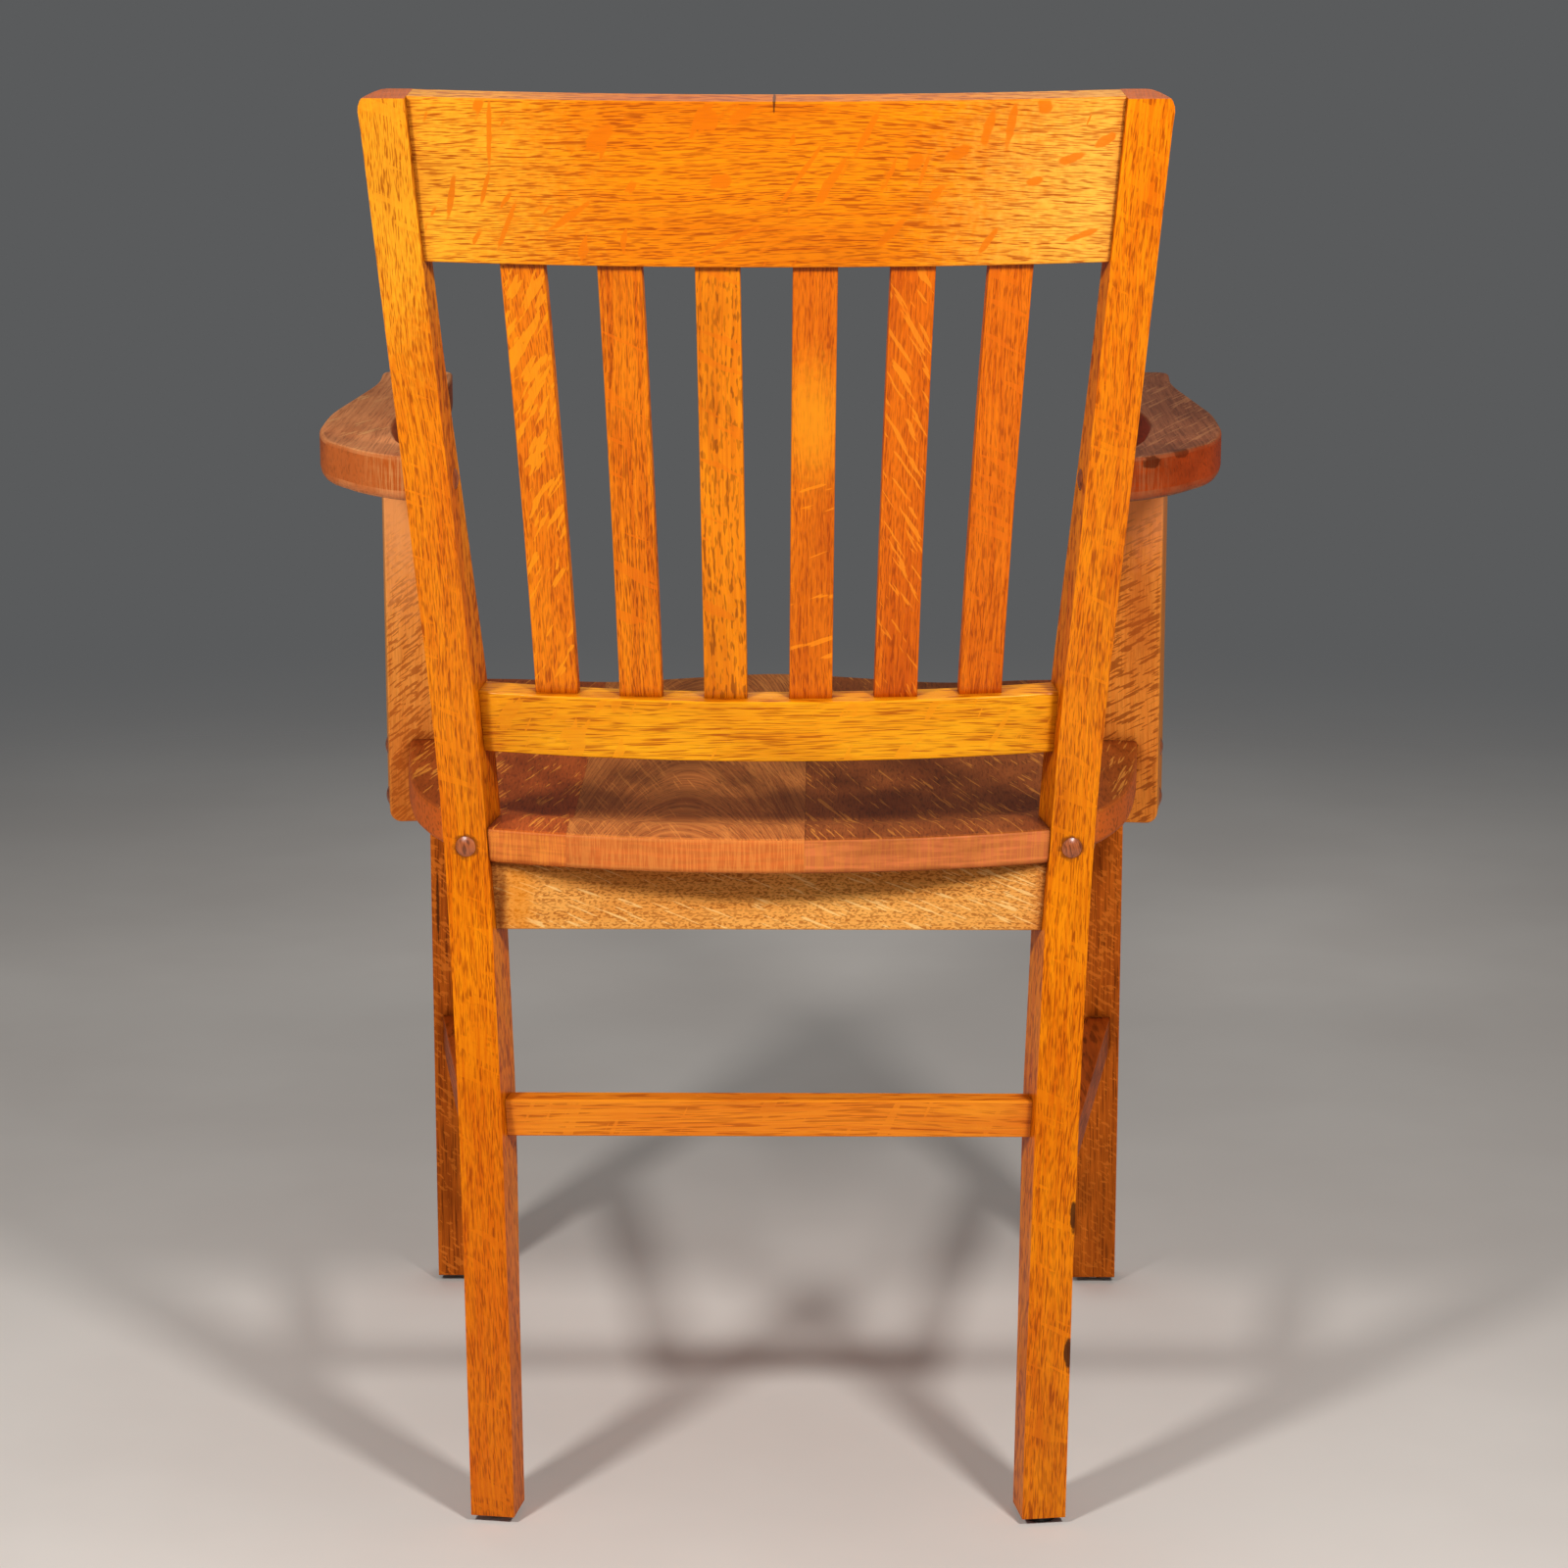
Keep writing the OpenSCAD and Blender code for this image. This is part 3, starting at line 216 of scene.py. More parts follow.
class Tree:
    """Short calls that add shader nodes to a material and link them."""

    def __init__(self, name):
        self.material = bpy.data.materials.new(name)
        self.material.use_nodes = True
        self.nodes = self.material.node_tree.nodes
        self.links = self.material.node_tree.links
        self.shader = self.nodes["Principled BSDF"]

    def put(self, socket, value):
        if isinstance(value, bpy.types.NodeSocket):
            self.links.new(value, socket)
        else:
            socket.default_value = value

    def feed(self, name, value):
        """Gives the shader's socket of that name a value or a link."""
        self.put(self.shader.inputs[name], value)

    def add(self, kind, *values, **settings):
        node = self.nodes.new("ShaderNode" + kind)
        for key, value in settings.items():
            setattr(node, key, value)
        for socket, value in zip([s for s in node.inputs if s.enabled], values):
            self.put(socket, value)
        return node

    def math(self, operation, *values):
        return self.add("Math", *values, operation=operation).outputs[0]

    def times(self, a, b):
        return self.math("MULTIPLY", a, b)

    def swing(self, value, width):
        """Noise, which goes about 0.5, as a swing of that width about nought."""
        return self.math("MULTIPLY_ADD", value, width, -width / 2)

    def vector(self, operation, a, b):
        return self.add("VectorMath", a, b, operation=operation).outputs[0]

    def length(self, a):
        return self.add("VectorMath", a, operation="LENGTH").outputs["Value"]

    def attribute(self, name, output):
        return self.add("Attribute", attribute_name=name).outputs[output]

    def here(self):
        """The place in the part."""
        return self.add("TexCoord").outputs["Object"]

    def stretched(self, place, scale, turn=(0, 0, 0)):
        """The place turned by angles in degrees and then scaled, per metre."""
        turned = self.add("Mapping", place, (0, 0, 0), tuple(math.radians(t) for t in turn),
                          (1, 1, 1), vector_type="POINT").outputs[0]
        return self.vector("MULTIPLY", turned, scale)

    def noise(self, place, detail=2.0, rough=0.5, distort=0.0):
        node = self.add("TexNoise", noise_dimensions="3D")
        self.put(node.inputs["Vector"], place)
        for name, value in (("Scale", 1), ("Detail", detail), ("Roughness", rough),
                            ("Distortion", distort)):
            node.inputs[name].default_value = value
        return node.outputs["Fac"]

    def band(self, value, low, high, to_low=0.0, to_high=1.0):
        return self.add("MapRange", value, low, high, to_low, to_high,
                        interpolation_type="SMOOTHSTEP").outputs[0]

    def patches(self, place, scale, limits, detail=2.0, rough=0.5):
        """Patches that come in between two values of a noise."""
        return self.band(self.noise(self.stretched(place, scale), detail, rough), *limits)

    def mix(self, share, a, b, blend="MIX"):
        node = self.nodes.new("ShaderNodeMix")
        node.data_type = "RGBA"
        node.blend_type = blend
        # The first socket is the share, and the seventh and eighth are the colours
        for i, value in ((0, share), (6, a), (7, b)):
            self.put(node.inputs[i], value)
        return node.outputs[2]

    def arched(self, place, centre, width, rise):
        """The place with the lines across the rings bent into arches, as in a flat-sawn board."""
        parts = self.add("SeparateXYZ", place)
        off = self.math("DIVIDE", self.math("SUBTRACT", parts.outputs[0], centre), width)
        bent = self.math("MULTIPLY_ADD", parts.outputs[2], rise, self.times(off, off))
        across = self.times(bent, width)
        return self.add("CombineXYZ", across, parts.outputs[1], parts.outputs[2]).outputs[0]

    def spot(self, centre, radii, share, fade):
        """A ragged mark round a place in the part, as strong as the share at its middle."""
        away = self.vector("ADD", self.here(), tuple(-c * MM for c in centre))
        near = self.vector("MULTIPLY", away, tuple(1 / (r * MM) for r in radii))
        ragged = self.noise(self.stretched(away, (SPOT_RAGS,) * 3), 3)
        reach = self.math("ADD", self.length(near), self.swing(ragged, SPOT_SWING))
        return self.band(reach, *fade, share, 0)

    def streaks(self, places):
        """Flecks at places of their own: x, z, half length, half width, slant from level."""
        here = self.here()
        reach = None
        for x, z, length, width, slant in places:
            away = self.vector("ADD", here, (-x * MM, 0, -z * MM))
            near = self.stretched(away, (1 / (length * MM), 0, 1 / (width * MM)), (0, -slant, 0))
            far = self.length(near)
            reach = far if reach is None else self.math("MINIMUM", reach, far)
        ragged = self.noise(self.stretched(here, (STREAK_RAGS,) * 3))
        reach = self.math("ADD", reach, self.swing(ragged, STREAK_SWING))
        return self.band(reach, *STREAK_FADE, 1, 0)

    def dent(self, height, depth, strength):
        """Roughens the surface by a height, and returns the roughened normal."""
        bump = self.nodes.new("ShaderNodeBump")
        bump.inputs["Distance"].default_value = depth
        bump.inputs["Strength"].default_value = strength
        self.put(bump.inputs["Height"], height)
        self.feed("Normal", bump.outputs[0])
        return bump.outputs[0]


# Oak under varnish. A piece's "grain" attribute holds its place across the growth rings, across
# the rays, and along the grain, so the figure runs through the solid as it does in wood.

def oak(name, light, dark, pore, fleck, end, lines=0.5, line_size=(500, 120, 8), pores=0.65,
        pore_size=(1000, 300, 36), pore_cut=0.52, pore_soft=0.1, flecks=0.4,
        fleck_size=(20, 60, 130), fleck_turn=25, fleck_cut=0.62, streaks=None, arch=None,
        edge=None, gloss=0.25, coat=0.3, stains=0.25, marks=(), grime=0.75):
    """Oak in the colours of its light and dark wood, pores, flecks and end grain.

    lines, pores, flecks and stains say how strongly each shows, and the last argument says how
    strongly the painted shade in nooks, joints and under overhangs shows. The sizes are scales of
    noise, and pores and flecks come in above their cuts. streaks are flecks at places of their
    own, arch bends the growth lines, and edge tints the faces that the rays don't lie in. A mark
    is a centre, radii, a share, a tint and a kind: "ground" is soft and lies under the pores,
    "veil" is soft and lies over them, and "hard" lies over them with a crisp edge.
    """
    tree = Tree(name)

    def marked(colour, kinds):
        for centre, radii, share, tint, kind in marks:
            if kind in kinds:
                fade = SPOT_CRISP if kind == "hard" else SPOT_SOFT
                colour = tree.mix(tree.spot(centre, radii, share, fade), colour, tint)
        return colour

    def deepened(colour, share):
        return tree.mix(share, colour, tree.mix(1, colour, pore, "MULTIPLY"))

    place = tree.attribute("grain", "Vector")
    drift = tree.noise(tree.stretched(place, DRIFT_SCALE))
    shift = tree.add("CombineXYZ", tree.swing(drift, DRIFT_SWING)).outputs[0]
    moved = tree.vector("ADD", place, shift)
    if arch:
        moved = tree.arched(moved, *arch)

    line = tree.patches(moved, line_size, LINE_LIMITS, 3, 0.6)
    broad = tree.patches(place, BROAD_SCALE, BROAD_LIMITS, 4, 0.55)
    tone = tree.math("ADD", tree.times(line, lines), tree.times(broad, 1 - lines))
    colour = tree.mix(tone, dark, light)
    facing = tree.attribute("ray_face", "Fac")
    if edge:
        aside = tree.math("MULTIPLY_ADD", facing, -EDGE_SHARE, EDGE_SHARE)
        colour = tree.mix(aside, colour, edge)
    colour = marked(colour, ("ground",))

    hole = tree.patches(moved, pore_size, (pore_cut, pore_cut + pore_soft), 1)
    hole = tree.times(hole, tree.math("MULTIPLY_ADD", line, -LINE_PORES, 1))
    mask = fleck_mask(tree, place, fleck_size, fleck_turn, fleck_cut)
    if streaks:
        mask = tree.math("MAXIMUM", mask, tree.streaks(streaks))
    mask = tree.times(mask, facing)
    bare = tree.math("SUBTRACT", 1, tree.times(mask, FLECK_BARE))
    colour = tree.mix(tree.times(mask, flecks), colour, fleck)
    colour = tree.mix(tree.times(tree.times(hole, bare), pores), colour, pore)

    rays = tree.patches(place, RAY_SCALE, END_LIMITS, rough=0.6)
    rings = tree.patches(place, RING_SCALE, END_LIMITS)
    cut_end = tree.mix(tree.times(rings, END_RINGS), end, dark)
    cut_end = tree.mix(tree.times(rays, END_RAYS), cut_end, fleck)
    colour = tree.mix(tree.attribute("end_grain", "Fac"), colour, cut_end)

    stain = tree.patches(place, STAIN_SCALE, STAIN_LIMITS, 5, 0.62)
    colour = deepened(colour, tree.times(stain, stains))
    # The worn round edges go lighter in patches: partly wear, partly a painted highlight along the
    # edges.
    wear_and_highlight = tree.math("MULTIPLY_ADD", tree.patches(place, WEAR_AND_HIGHLIGHT_SCALE, WEAR_AND_HIGHLIGHT_LIMITS, 3),
                    WEAR_AND_HIGHLIGHT_SWING, WEAR_AND_HIGHLIGHT_LEAST)
    colour = tree.mix(tree.times(tree.attribute("arris", "Fac"), wear_and_highlight), colour, light)
    colour = marked(colour, ("veil", "hard"))
    # Painted shade: the colour is darkened where little of the surroundings can be seen, in nooks,
    # joints and under overhangs.
    for reach, least, strength in NOOKS:
        nook = tree.add("AmbientOcclusion", samples=NOOK_SAMPLES)
        nook.inputs["Distance"].default_value = reach
        shade = tree.band(nook.outputs["AO"], least, NOOK_OPEN, strength * grime, 0)
        colour = deepened(colour, shade)
    tree.feed("Base Color", colour)

    haze = tree.noise(tree.stretched(place, HAZE_SCALE), 3)
    tree.feed("Roughness", OAK_ROUGH)
    tree.feed("Specular IOR Level", OAK_SPECULAR)
    tree.feed("Coat Weight", coat)
    tree.feed("Coat Roughness",
              tree.math("MULTIPLY_ADD", haze, HAZE_SWING, gloss - HAZE_SWING / 2))
    height = tree.math("SUBTRACT", tree.times(haze, HAZE_DENT), tree.times(hole, PORE_DENT))
    tree.feed("Coat Normal", tree.dent(height, OAK_DENT, OAK_DENT_SHARE))
    return tree.material


def fleck_mask(tree, place, size, turn, cut):
    """Ray flecks: patches drawn out across the grain, gathered in drifts."""
    ray = tree.noise(tree.stretched(place, size, (0, turn, 0)), 2, 0.45, 0.3)
    drift = tree.noise(tree.stretched(place, FLECK_DRIFT_SCALE), 1)
    return tree.band(tree.math("ADD", ray, tree.swing(drift, FLECK_DRIFT_SWING)),
                     cut, cut + FLECK_SOFT)


def plain(name, low, high, scale, detail, limits, rough, dent, rough_swing=0, shine=0):
    """A material that goes from one colour to another in patches. dent is depth and strength."""
    tree = Tree(name)
    patch = tree.noise(tree.stretched(tree.here(), scale), detail)
    tree.feed("Base Color", tree.mix(tree.band(patch, *limits), low, high))
    if rough_swing:
        rough = tree.math("MULTIPLY_ADD", patch, rough_swing, rough)
    tree.feed("Roughness", rough)
    tree.feed("Metallic", shine)
    tree.dent(patch, *dent)
    return tree.material


def metal(name, colour, shine):
    return plain(name, colour, srgb(96, 88, 78), (300,) * 3, 3, (0.4, 0.7), 0.3,
                 (0.1 * MM, 0.3), 0.3, shine)


def grain_offset(name):
    """Where a piece lies in its tree, so that no two pieces show the same figure."""
    draw = random.Random(zlib.crc32(name.encode()))
    return Vector([draw.uniform(0, GRAIN_SPREAD) for _ in range(3)])


# Looks of the pieces: colours of the light and dark wood, the pores, the flecks and the end grain

AMBER = dict(light=srgb(244, 136, 4), dark=srgb(224, 108, 2), pore=srgb(160, 62, 0),
             fleck=srgb(228, 106, 2), end=srgb(180, 86, 20))
DULL = dict(coat=0.08, gloss=0.34)


def amber(name, **changes):
    return oak(name, **{**AMBER, **changes})


def brown(name, light, dark, pore, fleck, end, **changes):
    return oak(name, light, dark, pore, fleck, end, **{**DULL, **changes})


SEAT_FIGURE = dict(fleck_size=(480, 90, 24), fleck_turn=12, fleck_cut=0.61, flecks=0.75,
                   lines=0.35, line_size=(620, 60, 60), pores=0.45, pore_size=(800, 300, 110),
                   stains=0.3, edge=srgb(230, 110, 38))
SUPPORT_FIGURE = dict(flecks=0.7, fleck_size=(80, 300, 560), fleck_cut=0.53, coat=0.2,
                      pore_size=(1000, 1000, 80), pores=0.25)
ARM_FIGURE = dict(flecks=0.6, fleck_turn=20, fleck_size=(400, 120, 20), coat=0.15, stains=0.4,
                  pores=0.35, pore_size=(1000, 300, 45))
POST_FIGURE = dict(flecks=0, lines=0.55, line_size=(640, 160, 9), pore_size=(1350, 200, 110),
                   pore_cut=0.46, pore_soft=0.18, pores=0.8, light=srgb(247, 142, 4),
                   dark=srgb(219, 104, 0), pore=srgb(150, 58, 0))
SLAT_FIGURE = dict(line_size=(640, 160, 10), pore_size=(1350, 200, 120), pore_cut=0.46,
                   pore_soft=0.18, pores=0.85)

# Dark wood in dents and splits, and the dark ring drawn round the plugs, which are sunk a little
DENT = srgb(58, 26, 10)
PLUG_RING_TINT = srgb(96, 40, 8)
PLUG_R, PLUG_RING_R, PLUG_SUNK = 7, 9.4, 2

# The crest's larger flecks, in millimetres and degrees: x, z, half length, half width, slant
CREST_STREAKS = [
    (163.5, 891, 21, 1.8, 88), (167, 858, 13, 1.4, 75), (187.6, 853, 14, 2, 80),
    (154.6, 836, 17, 1.7, 68), (98.4, 888, 11, 5.4, 50), (116.6, 841.6, 15, 2.5, 35),
    (14.2, 902, 10, 3.8, 35), (26.8, 862.6, 7, 4.6, 10), (-60, 892, 16, 2.2, 62),
    (-39, 863, 17, 2.5, 58), (-21, 867, 21, 1.6, 55), (-131, 894.3, 12, 3, 75),
    (-144.6, 896.3, 14, 2.6, 78), (-164.4, 907, 6, 4.8, 80), (-113.4, 879.5, 8.6, 3.9, 30),
    (-88.2, 874.7, 5.8, 4.2, 45), (-180.8, 875.8, 8.8, 2.8, 18), (-200.4, 886.5, 8, 3, 35),
    (-159.1, 862.3, 5.2, 2.8, 15), (-100.8, 855.6, 7, 3, 50), (-131.6, 826.2, 11, 2.2, 55),
    (-189.2, 830.4, 13, 2, 20), (-74.2, 831.8, 13, 2.8, 45), (21.2, 827.6, 21, 1.6, 28),
]


def plug_ring(side):
    """The dark ring round the plug in the rear face of a back post, in millimetres."""
    low, high = ([v / MM for v in corner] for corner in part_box("seat_post_plugs"))
    x = high[0] - PLUG_R if side > 0 else low[0] + PLUG_R
    centre = (x, high[1] - PLUG_SUNK, (low[2] + high[2]) / 2)
    return (centre, (PLUG_RING_R,) * 3, 0.7, PLUG_RING_TINT, "hard")


ARCH_X = grain_offset("seat_board_2").x + sum(v[0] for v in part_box("seat_board_2")) / 2

LOOKS = {
    "post_left": amber("post_oak_left", **POST_FIGURE, marks=[
        plug_ring(1),
        ((172, 220, 90), (60, 60, 280), 0.45, srgb(206, 84, 6), "ground"),
        # Painted sheen: the pale mark at the top of the left post, by the crest's end.
        ((225, 264, 850), (40, 60, 150), 0.6, srgb(253, 182, 40), "ground")]),
    "post_right": amber("post_oak_right", **POST_FIGURE, marks=[
        plug_ring(-1),
        ((-196, 204, 197), (2.6, 5, 16), 0.9, DENT, "hard"),
        ((-193.6, 216, 110), (3.6, 6, 13), 0.9, DENT, "hard")]),
    "crest": amber(
        "crest_oak", light=srgb(242, 140, 6), dark=srgb(226, 116, 2), pore=srgb(166, 70, 4),
        pores=0.9, pore_size=(1350, 160, 90), pore_cut=0.45, pore_soft=0.18,
        line_size=(620, 120, 9), flecks=0.85, fleck=srgb(222, 110, 2), fleck_size=(22, 60, 105),
        fleck_cut=0.66, streaks=CREST_STREAKS, marks=[
            ((-5, 273, 909), (1.2, 14, 8), 0.8, DENT, "hard"),
            # Painted sheen: the two pale marks at the crest's ends.
            ((232, 255, 850), (130, 90, 160), 0.7, srgb(252, 184, 48), "ground"),
            ((-236, 255, 850), (140, 90, 160), 0.85, srgb(253, 188, 72), "ground")]),
    "rail": amber(
        "rail_oak", light=srgb(250, 172, 16), dark=srgb(241, 148, 8), pore=srgb(172, 76, 2),
        fleck=srgb(234, 120, 10), flecks=0.2, pores=0.85, pore_size=(1150, 180, 48),
        pore_cut=0.48, pore_soft=0.16, line_size=(480, 150, 6)),
    "stretcher": amber("stretcher_oak", light=srgb(246, 148, 30), dark=srgb(231, 124, 22),
                       flecks=0, pores=0.6, pore_size=(1000, 220, 40)),
    "slat_1": amber("slat_oak_1", fleck=srgb(250, 156, 16), flecks=0.6, fleck_turn=-60,
                    fleck_size=(50, 60, 260), fleck_cut=0.57, **SLAT_FIGURE),
    "slat_2": amber("slat_oak_2", light=srgb(242, 134, 4), dark=srgb(214, 98, 0),
                    pore=srgb(140, 54, 0), lines=0.7, **SLAT_FIGURE),
    "slat_3": amber("slat_oak_3", light=srgb(248, 144, 6), dark=srgb(220, 110, 2), pores=0.8,
                    pore=srgb(140, 66, 2), pore_size=(560, 400, 110)),
    "slat_4": amber("slat_oak_4", light=srgb(236, 122, 4), dark=srgb(206, 92, 2),
                    fleck=srgb(250, 144, 16), flecks=0.7, fleck_turn=-20,
                    fleck_size=(26, 60, 160), **SLAT_FIGURE, marks=[
                        ((-28, 226, 716), (24, 60, 50), 0.6, srgb(250, 156, 20), "veil")]),
    "slat_5": amber("slat_oak_5", light=srgb(234, 115, 4), dark=srgb(206, 88, 2),
                    fleck=srgb(248, 144, 24), flecks=0.65, fleck_turn=58,
                    fleck_size=(40, 60, 320), fleck_cut=0.58, **SLAT_FIGURE),
    "slat_6": amber("slat_oak_6", light=srgb(236, 120, 4), dark=srgb(208, 90, 0), lines=0.7,
                    **SLAT_FIGURE),
    "seat_1": brown("seat_oak_1", srgb(200, 98, 38), srgb(160, 72, 25), srgb(95, 41, 14),
                    srgb(255, 164, 62), srgb(224, 122, 53), **SEAT_FIGURE),
    "seat_2": brown("seat_oak_2", srgb(220, 135, 64), srgb(176, 96, 43), srgb(102, 56, 26),
                    srgb(247, 161, 76), srgb(216, 112, 49),
                    **{**SEAT_FIGURE, "flecks": 0.4, "fleck_turn": -14, "lines": 0.75,
                       "line_size": (420, 60, 6), "arch": (ARCH_X, 0.05, 6.5)}),
    "seat_3": brown("seat_oak_3", srgb(170, 93, 41), srgb(141, 70, 28), srgb(81, 38, 16),
                    srgb(228, 145, 58), srgb(223, 122, 68),
                    **{**SEAT_FIGURE, "fleck_turn": -16}),
    "seat_4": brown("seat_oak_4", srgb(190, 95, 35), srgb(153, 72, 24), srgb(90, 40, 14),
                    srgb(234, 151, 62), srgb(214, 112, 55), **SEAT_FIGURE),
    # The apron's painted shade is stronger, to darken it under the seat's overhanging rear edge.
    "apron": brown("apron_oak", srgb(246, 179, 90), srgb(229, 150, 64), srgb(160, 88, 28),
                   srgb(255, 216, 140), srgb(170, 90, 36), pores=0.8, pore_cut=0.48,
                   pore_size=(850, 850, 400), flecks=0.6, fleck_turn=-68, lines=0.3,
                   fleck_size=(40, 90, 520), fleck_cut=0.6, grime=1.3, marks=[
                       ((160, 176, 402), (14, 8, 30), 0.6, srgb(232, 136, 12), "veil"),
                       ((171, 176, 400), (5, 8, 36), 0.8, srgb(104, 44, 14), "veil")]),
    "arm_left": brown("arm_oak_left", srgb(244, 158, 96), srgb(208, 122, 66), srgb(128, 66, 30),
                      srgb(252, 190, 116), srgb(196, 92, 30), edge=srgb(200, 96, 34),
                      **ARM_FIGURE),
    "arm_right": brown("arm_oak_right", srgb(170, 100, 62), srgb(134, 72, 42), srgb(78, 36, 16),
                       srgb(196, 128, 80), srgb(176, 64, 10), edge=srgb(184, 64, 10),
                       **ARM_FIGURE, marks=[
                           ((-237, 203, 687), (9, 8, 4.5), 0.75, srgb(70, 26, 8), "hard"),
                           ((-258, 181, 690), (12, 9, 3.5), 0.6, srgb(74, 30, 10), "hard")]),
    "support_left": brown("support_oak_left", srgb(255, 166, 72), srgb(238, 140, 50),
                          srgb(146, 68, 18), srgb(168, 78, 22), srgb(150, 70, 26),
                          fleck_turn=-38, **SUPPORT_FIGURE, marks=[
                              ((258, -69, 635), (60, 70, 105), 0.9, srgb(250, 166, 96), "veil"),
                              ((262, -69, 400), (60, 70, 100), 0.5, srgb(206, 100, 26), "veil")]),
    "support_right": brown("support_oak_right", srgb(250, 156, 60), srgb(232, 130, 42),
                           srgb(136, 60, 14), srgb(142, 60, 14), srgb(150, 70, 26),
                           fleck_turn=-28, **SUPPORT_FIGURE, marks=[
                               ((-258, -69, 640), (60, 70, 70), 0.8, srgb(236, 146, 86), "veil"),
                               ((-254, -69, 545), (14, 70, 60), 0.5, srgb(186, 84, 26), "veil")]),
    "leg": brown("leg_oak", srgb(230, 118, 27), srgb(180, 82, 16), srgb(94, 36, 5),
                 srgb(243, 134, 40), srgb(100, 44, 13), flecks=0.6, fleck_turn=35,
                 fleck_size=(140, 300, 380), fleck_cut=0.56, stains=0.5,
                 marks=[((253.2, -234, 295), (1.2, 6, 32), 0.8, DENT, "hard")]),
    "side": brown("side_oak", srgb(222, 105, 31), srgb(171, 74, 20), srgb(88, 33, 7),
                  srgb(235, 126, 43), srgb(102, 42, 13), flecks=0.3, stains=0.5),
    "block": brown("block_oak", srgb(206, 150, 86), srgb(178, 120, 62), srgb(110, 68, 32),
                   srgb(160, 104, 50), srgb(150, 98, 50), flecks=0.3, coat=0),
    "plug": brown("plug_oak", srgb(190, 104, 56), srgb(132, 64, 34), srgb(66, 28, 14),
                  srgb(196, 118, 70), srgb(160, 82, 44), flecks=0.2, gloss=0.3, coat=0.9,
                  pore_size=(600, 600, 160), grime=0.4),
    "beech": plain("dowel_beech", srgb(196, 158, 112), srgb(222, 188, 146), (60, 700, 700), 3,
                   (0.35, 0.65), 0.7, (0.1 * MM, 0.4)),
    "screw": metal("screw_steel", srgb(168, 166, 162), 1),
    "glide": metal("glide_nickel", srgb(236, 234, 228), 0.3),
    "pad": plain("pad_rubber", srgb(26, 25, 25), srgb(78, 74, 70), (220,) * 3, 4,
                 (0.45, 0.8), 0.75, (0.2 * MM, 0.4)),
}


# Meshes

def turned_axes(along, out):
    """Axes of a piece's grain: across the rings, across the rays, and along the grain."""
    along, out = Vector(along).normalized(), Vector(out)
    rays = (out - along * along.dot(out)).normalized()
    return Matrix((rays.cross(along), rays, along))


def mark_grain(obj, axes, name):
    """Writes each point's place in the grain, and how each face cuts it."""
    offset = grain_offset(name)
    mesh = obj.data
    grain = mesh.attributes.new("grain", "FLOAT_VECTOR", "POINT")
    for i, v in enumerate(mesh.vertices):
        grain.data[i].vector = axes @ v.co + offset
    for layer, axis, limits in (("end_grain", axes[2], END_CUT), ("ray_face", axes[1], RAY_CUT)):
        shares = mesh.attributes.new(layer, "FLOAT", "FACE")
        for i, face in enumerate(mesh.polygons):
            shares.data[i].value = smooth(*limits, abs(face.normal.dot(axis)))


def finish_piece(obj, node, look, along, out):
    """Gives a piece its grain and its material, and sets it on the frame in the node's place."""
    mark_grain(obj, turned_axes(along, out), node)
    obj.data.materials.clear()
    obj.data.materials.append(LOOKS[look])
    obj.data.shade_smooth()
    obj.data.set_sharp_from_angle(angle=SHARP_ANGLE)
    even = obj.modifiers.new("even", "WEIGHTED_NORMAL")
    even.keep_sharp = True
    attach(obj, "root")
    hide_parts(node)


def new_object(name, bm):
    mesh = bpy.data.meshes.new(name)
    bm.to_mesh(mesh)
    bm.free()
    obj = bpy.data.objects.new(name, mesh)
    bpy.context.scene.collection.objects.link(obj)
    return obj


def welded(mesh):
    bm = bmesh.new()
    bm.from_mesh(mesh)
    bmesh.ops.remove_doubles(bm, verts=bm.verts, dist=WELD)
    bmesh.ops.dissolve_limit(bm, angle_limit=FLAT_ANGLE, verts=bm.verts, edges=bm.edges)
    return bm


def neighbours(node):
    """A search tree over every CAD solid but one, near that one."""
    low, high = (Vector(c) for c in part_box(node))
    points, faces = [], []
    for other, obj in NODES.items():
        if other == node:
            continue
        box = [Vector(c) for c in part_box(other)]
        if any(box[0][i] > high[i] + CONTACT or box[1][i] < low[i] - CONTACT for i in range(3)):
            continue
        base = len(points)
        points += [v.co.copy() for v in obj.data.vertices]
        faces += [[base + i for i in f.vertices] for f in obj.data.polygons]
    return BVHTree.FromPolygons(points, faces) if faces else None


def rounded_copy(node, look, along, out, arris=ARRIS):
    """The node's solid with its free edges worn round and its joints left crisp.

    An edge is in a joint if two of three points on it touch another solid.
    """
    bm = welded(NODES[node].data)
    near = neighbours(node)
    free = []
    for edge in bm.edges:
        if len(edge.link_faces) != 2 or edge.calc_face_angle(0) < ARRIS_ANGLE:
            continue
        a, b = (v.co for v in edge.verts)
        spots = [a.lerp(b, share) for share in CONTACT_SHARES]
        touching = near and sum(near.find_nearest(p, CONTACT)[0] is not None for p in spots) > 1
        if not touching:
            free.append(edge)
    layer = bm.faces.layers.float.new("arris")
    made = bmesh.ops.bevel(bm, geom=free, offset=arris, segments=ARRIS_STEPS, profile=0.5,
                           affect="EDGES", clamp_overlap=True)
    for face in made["faces"]:
        face[layer] = 1
    bmesh.ops.recalc_face_normals(bm, faces=bm.faces)
    finish_piece(new_object("look_" + node, bm), node, look, along, out)


def bisected(bm, place, normal):
    """Takes away what lies beyond a plane, and returns the edges left in the plane."""
    made = bmesh.ops.bisect_plane(bm, geom=bm.verts[:] + bm.edges[:] + bm.faces[:],
                                  plane_co=place, plane_no=normal, clear_outer=True)
    return [g for g in made["geom_cut"] if isinstance(g, bmesh.types.BMEdge)]


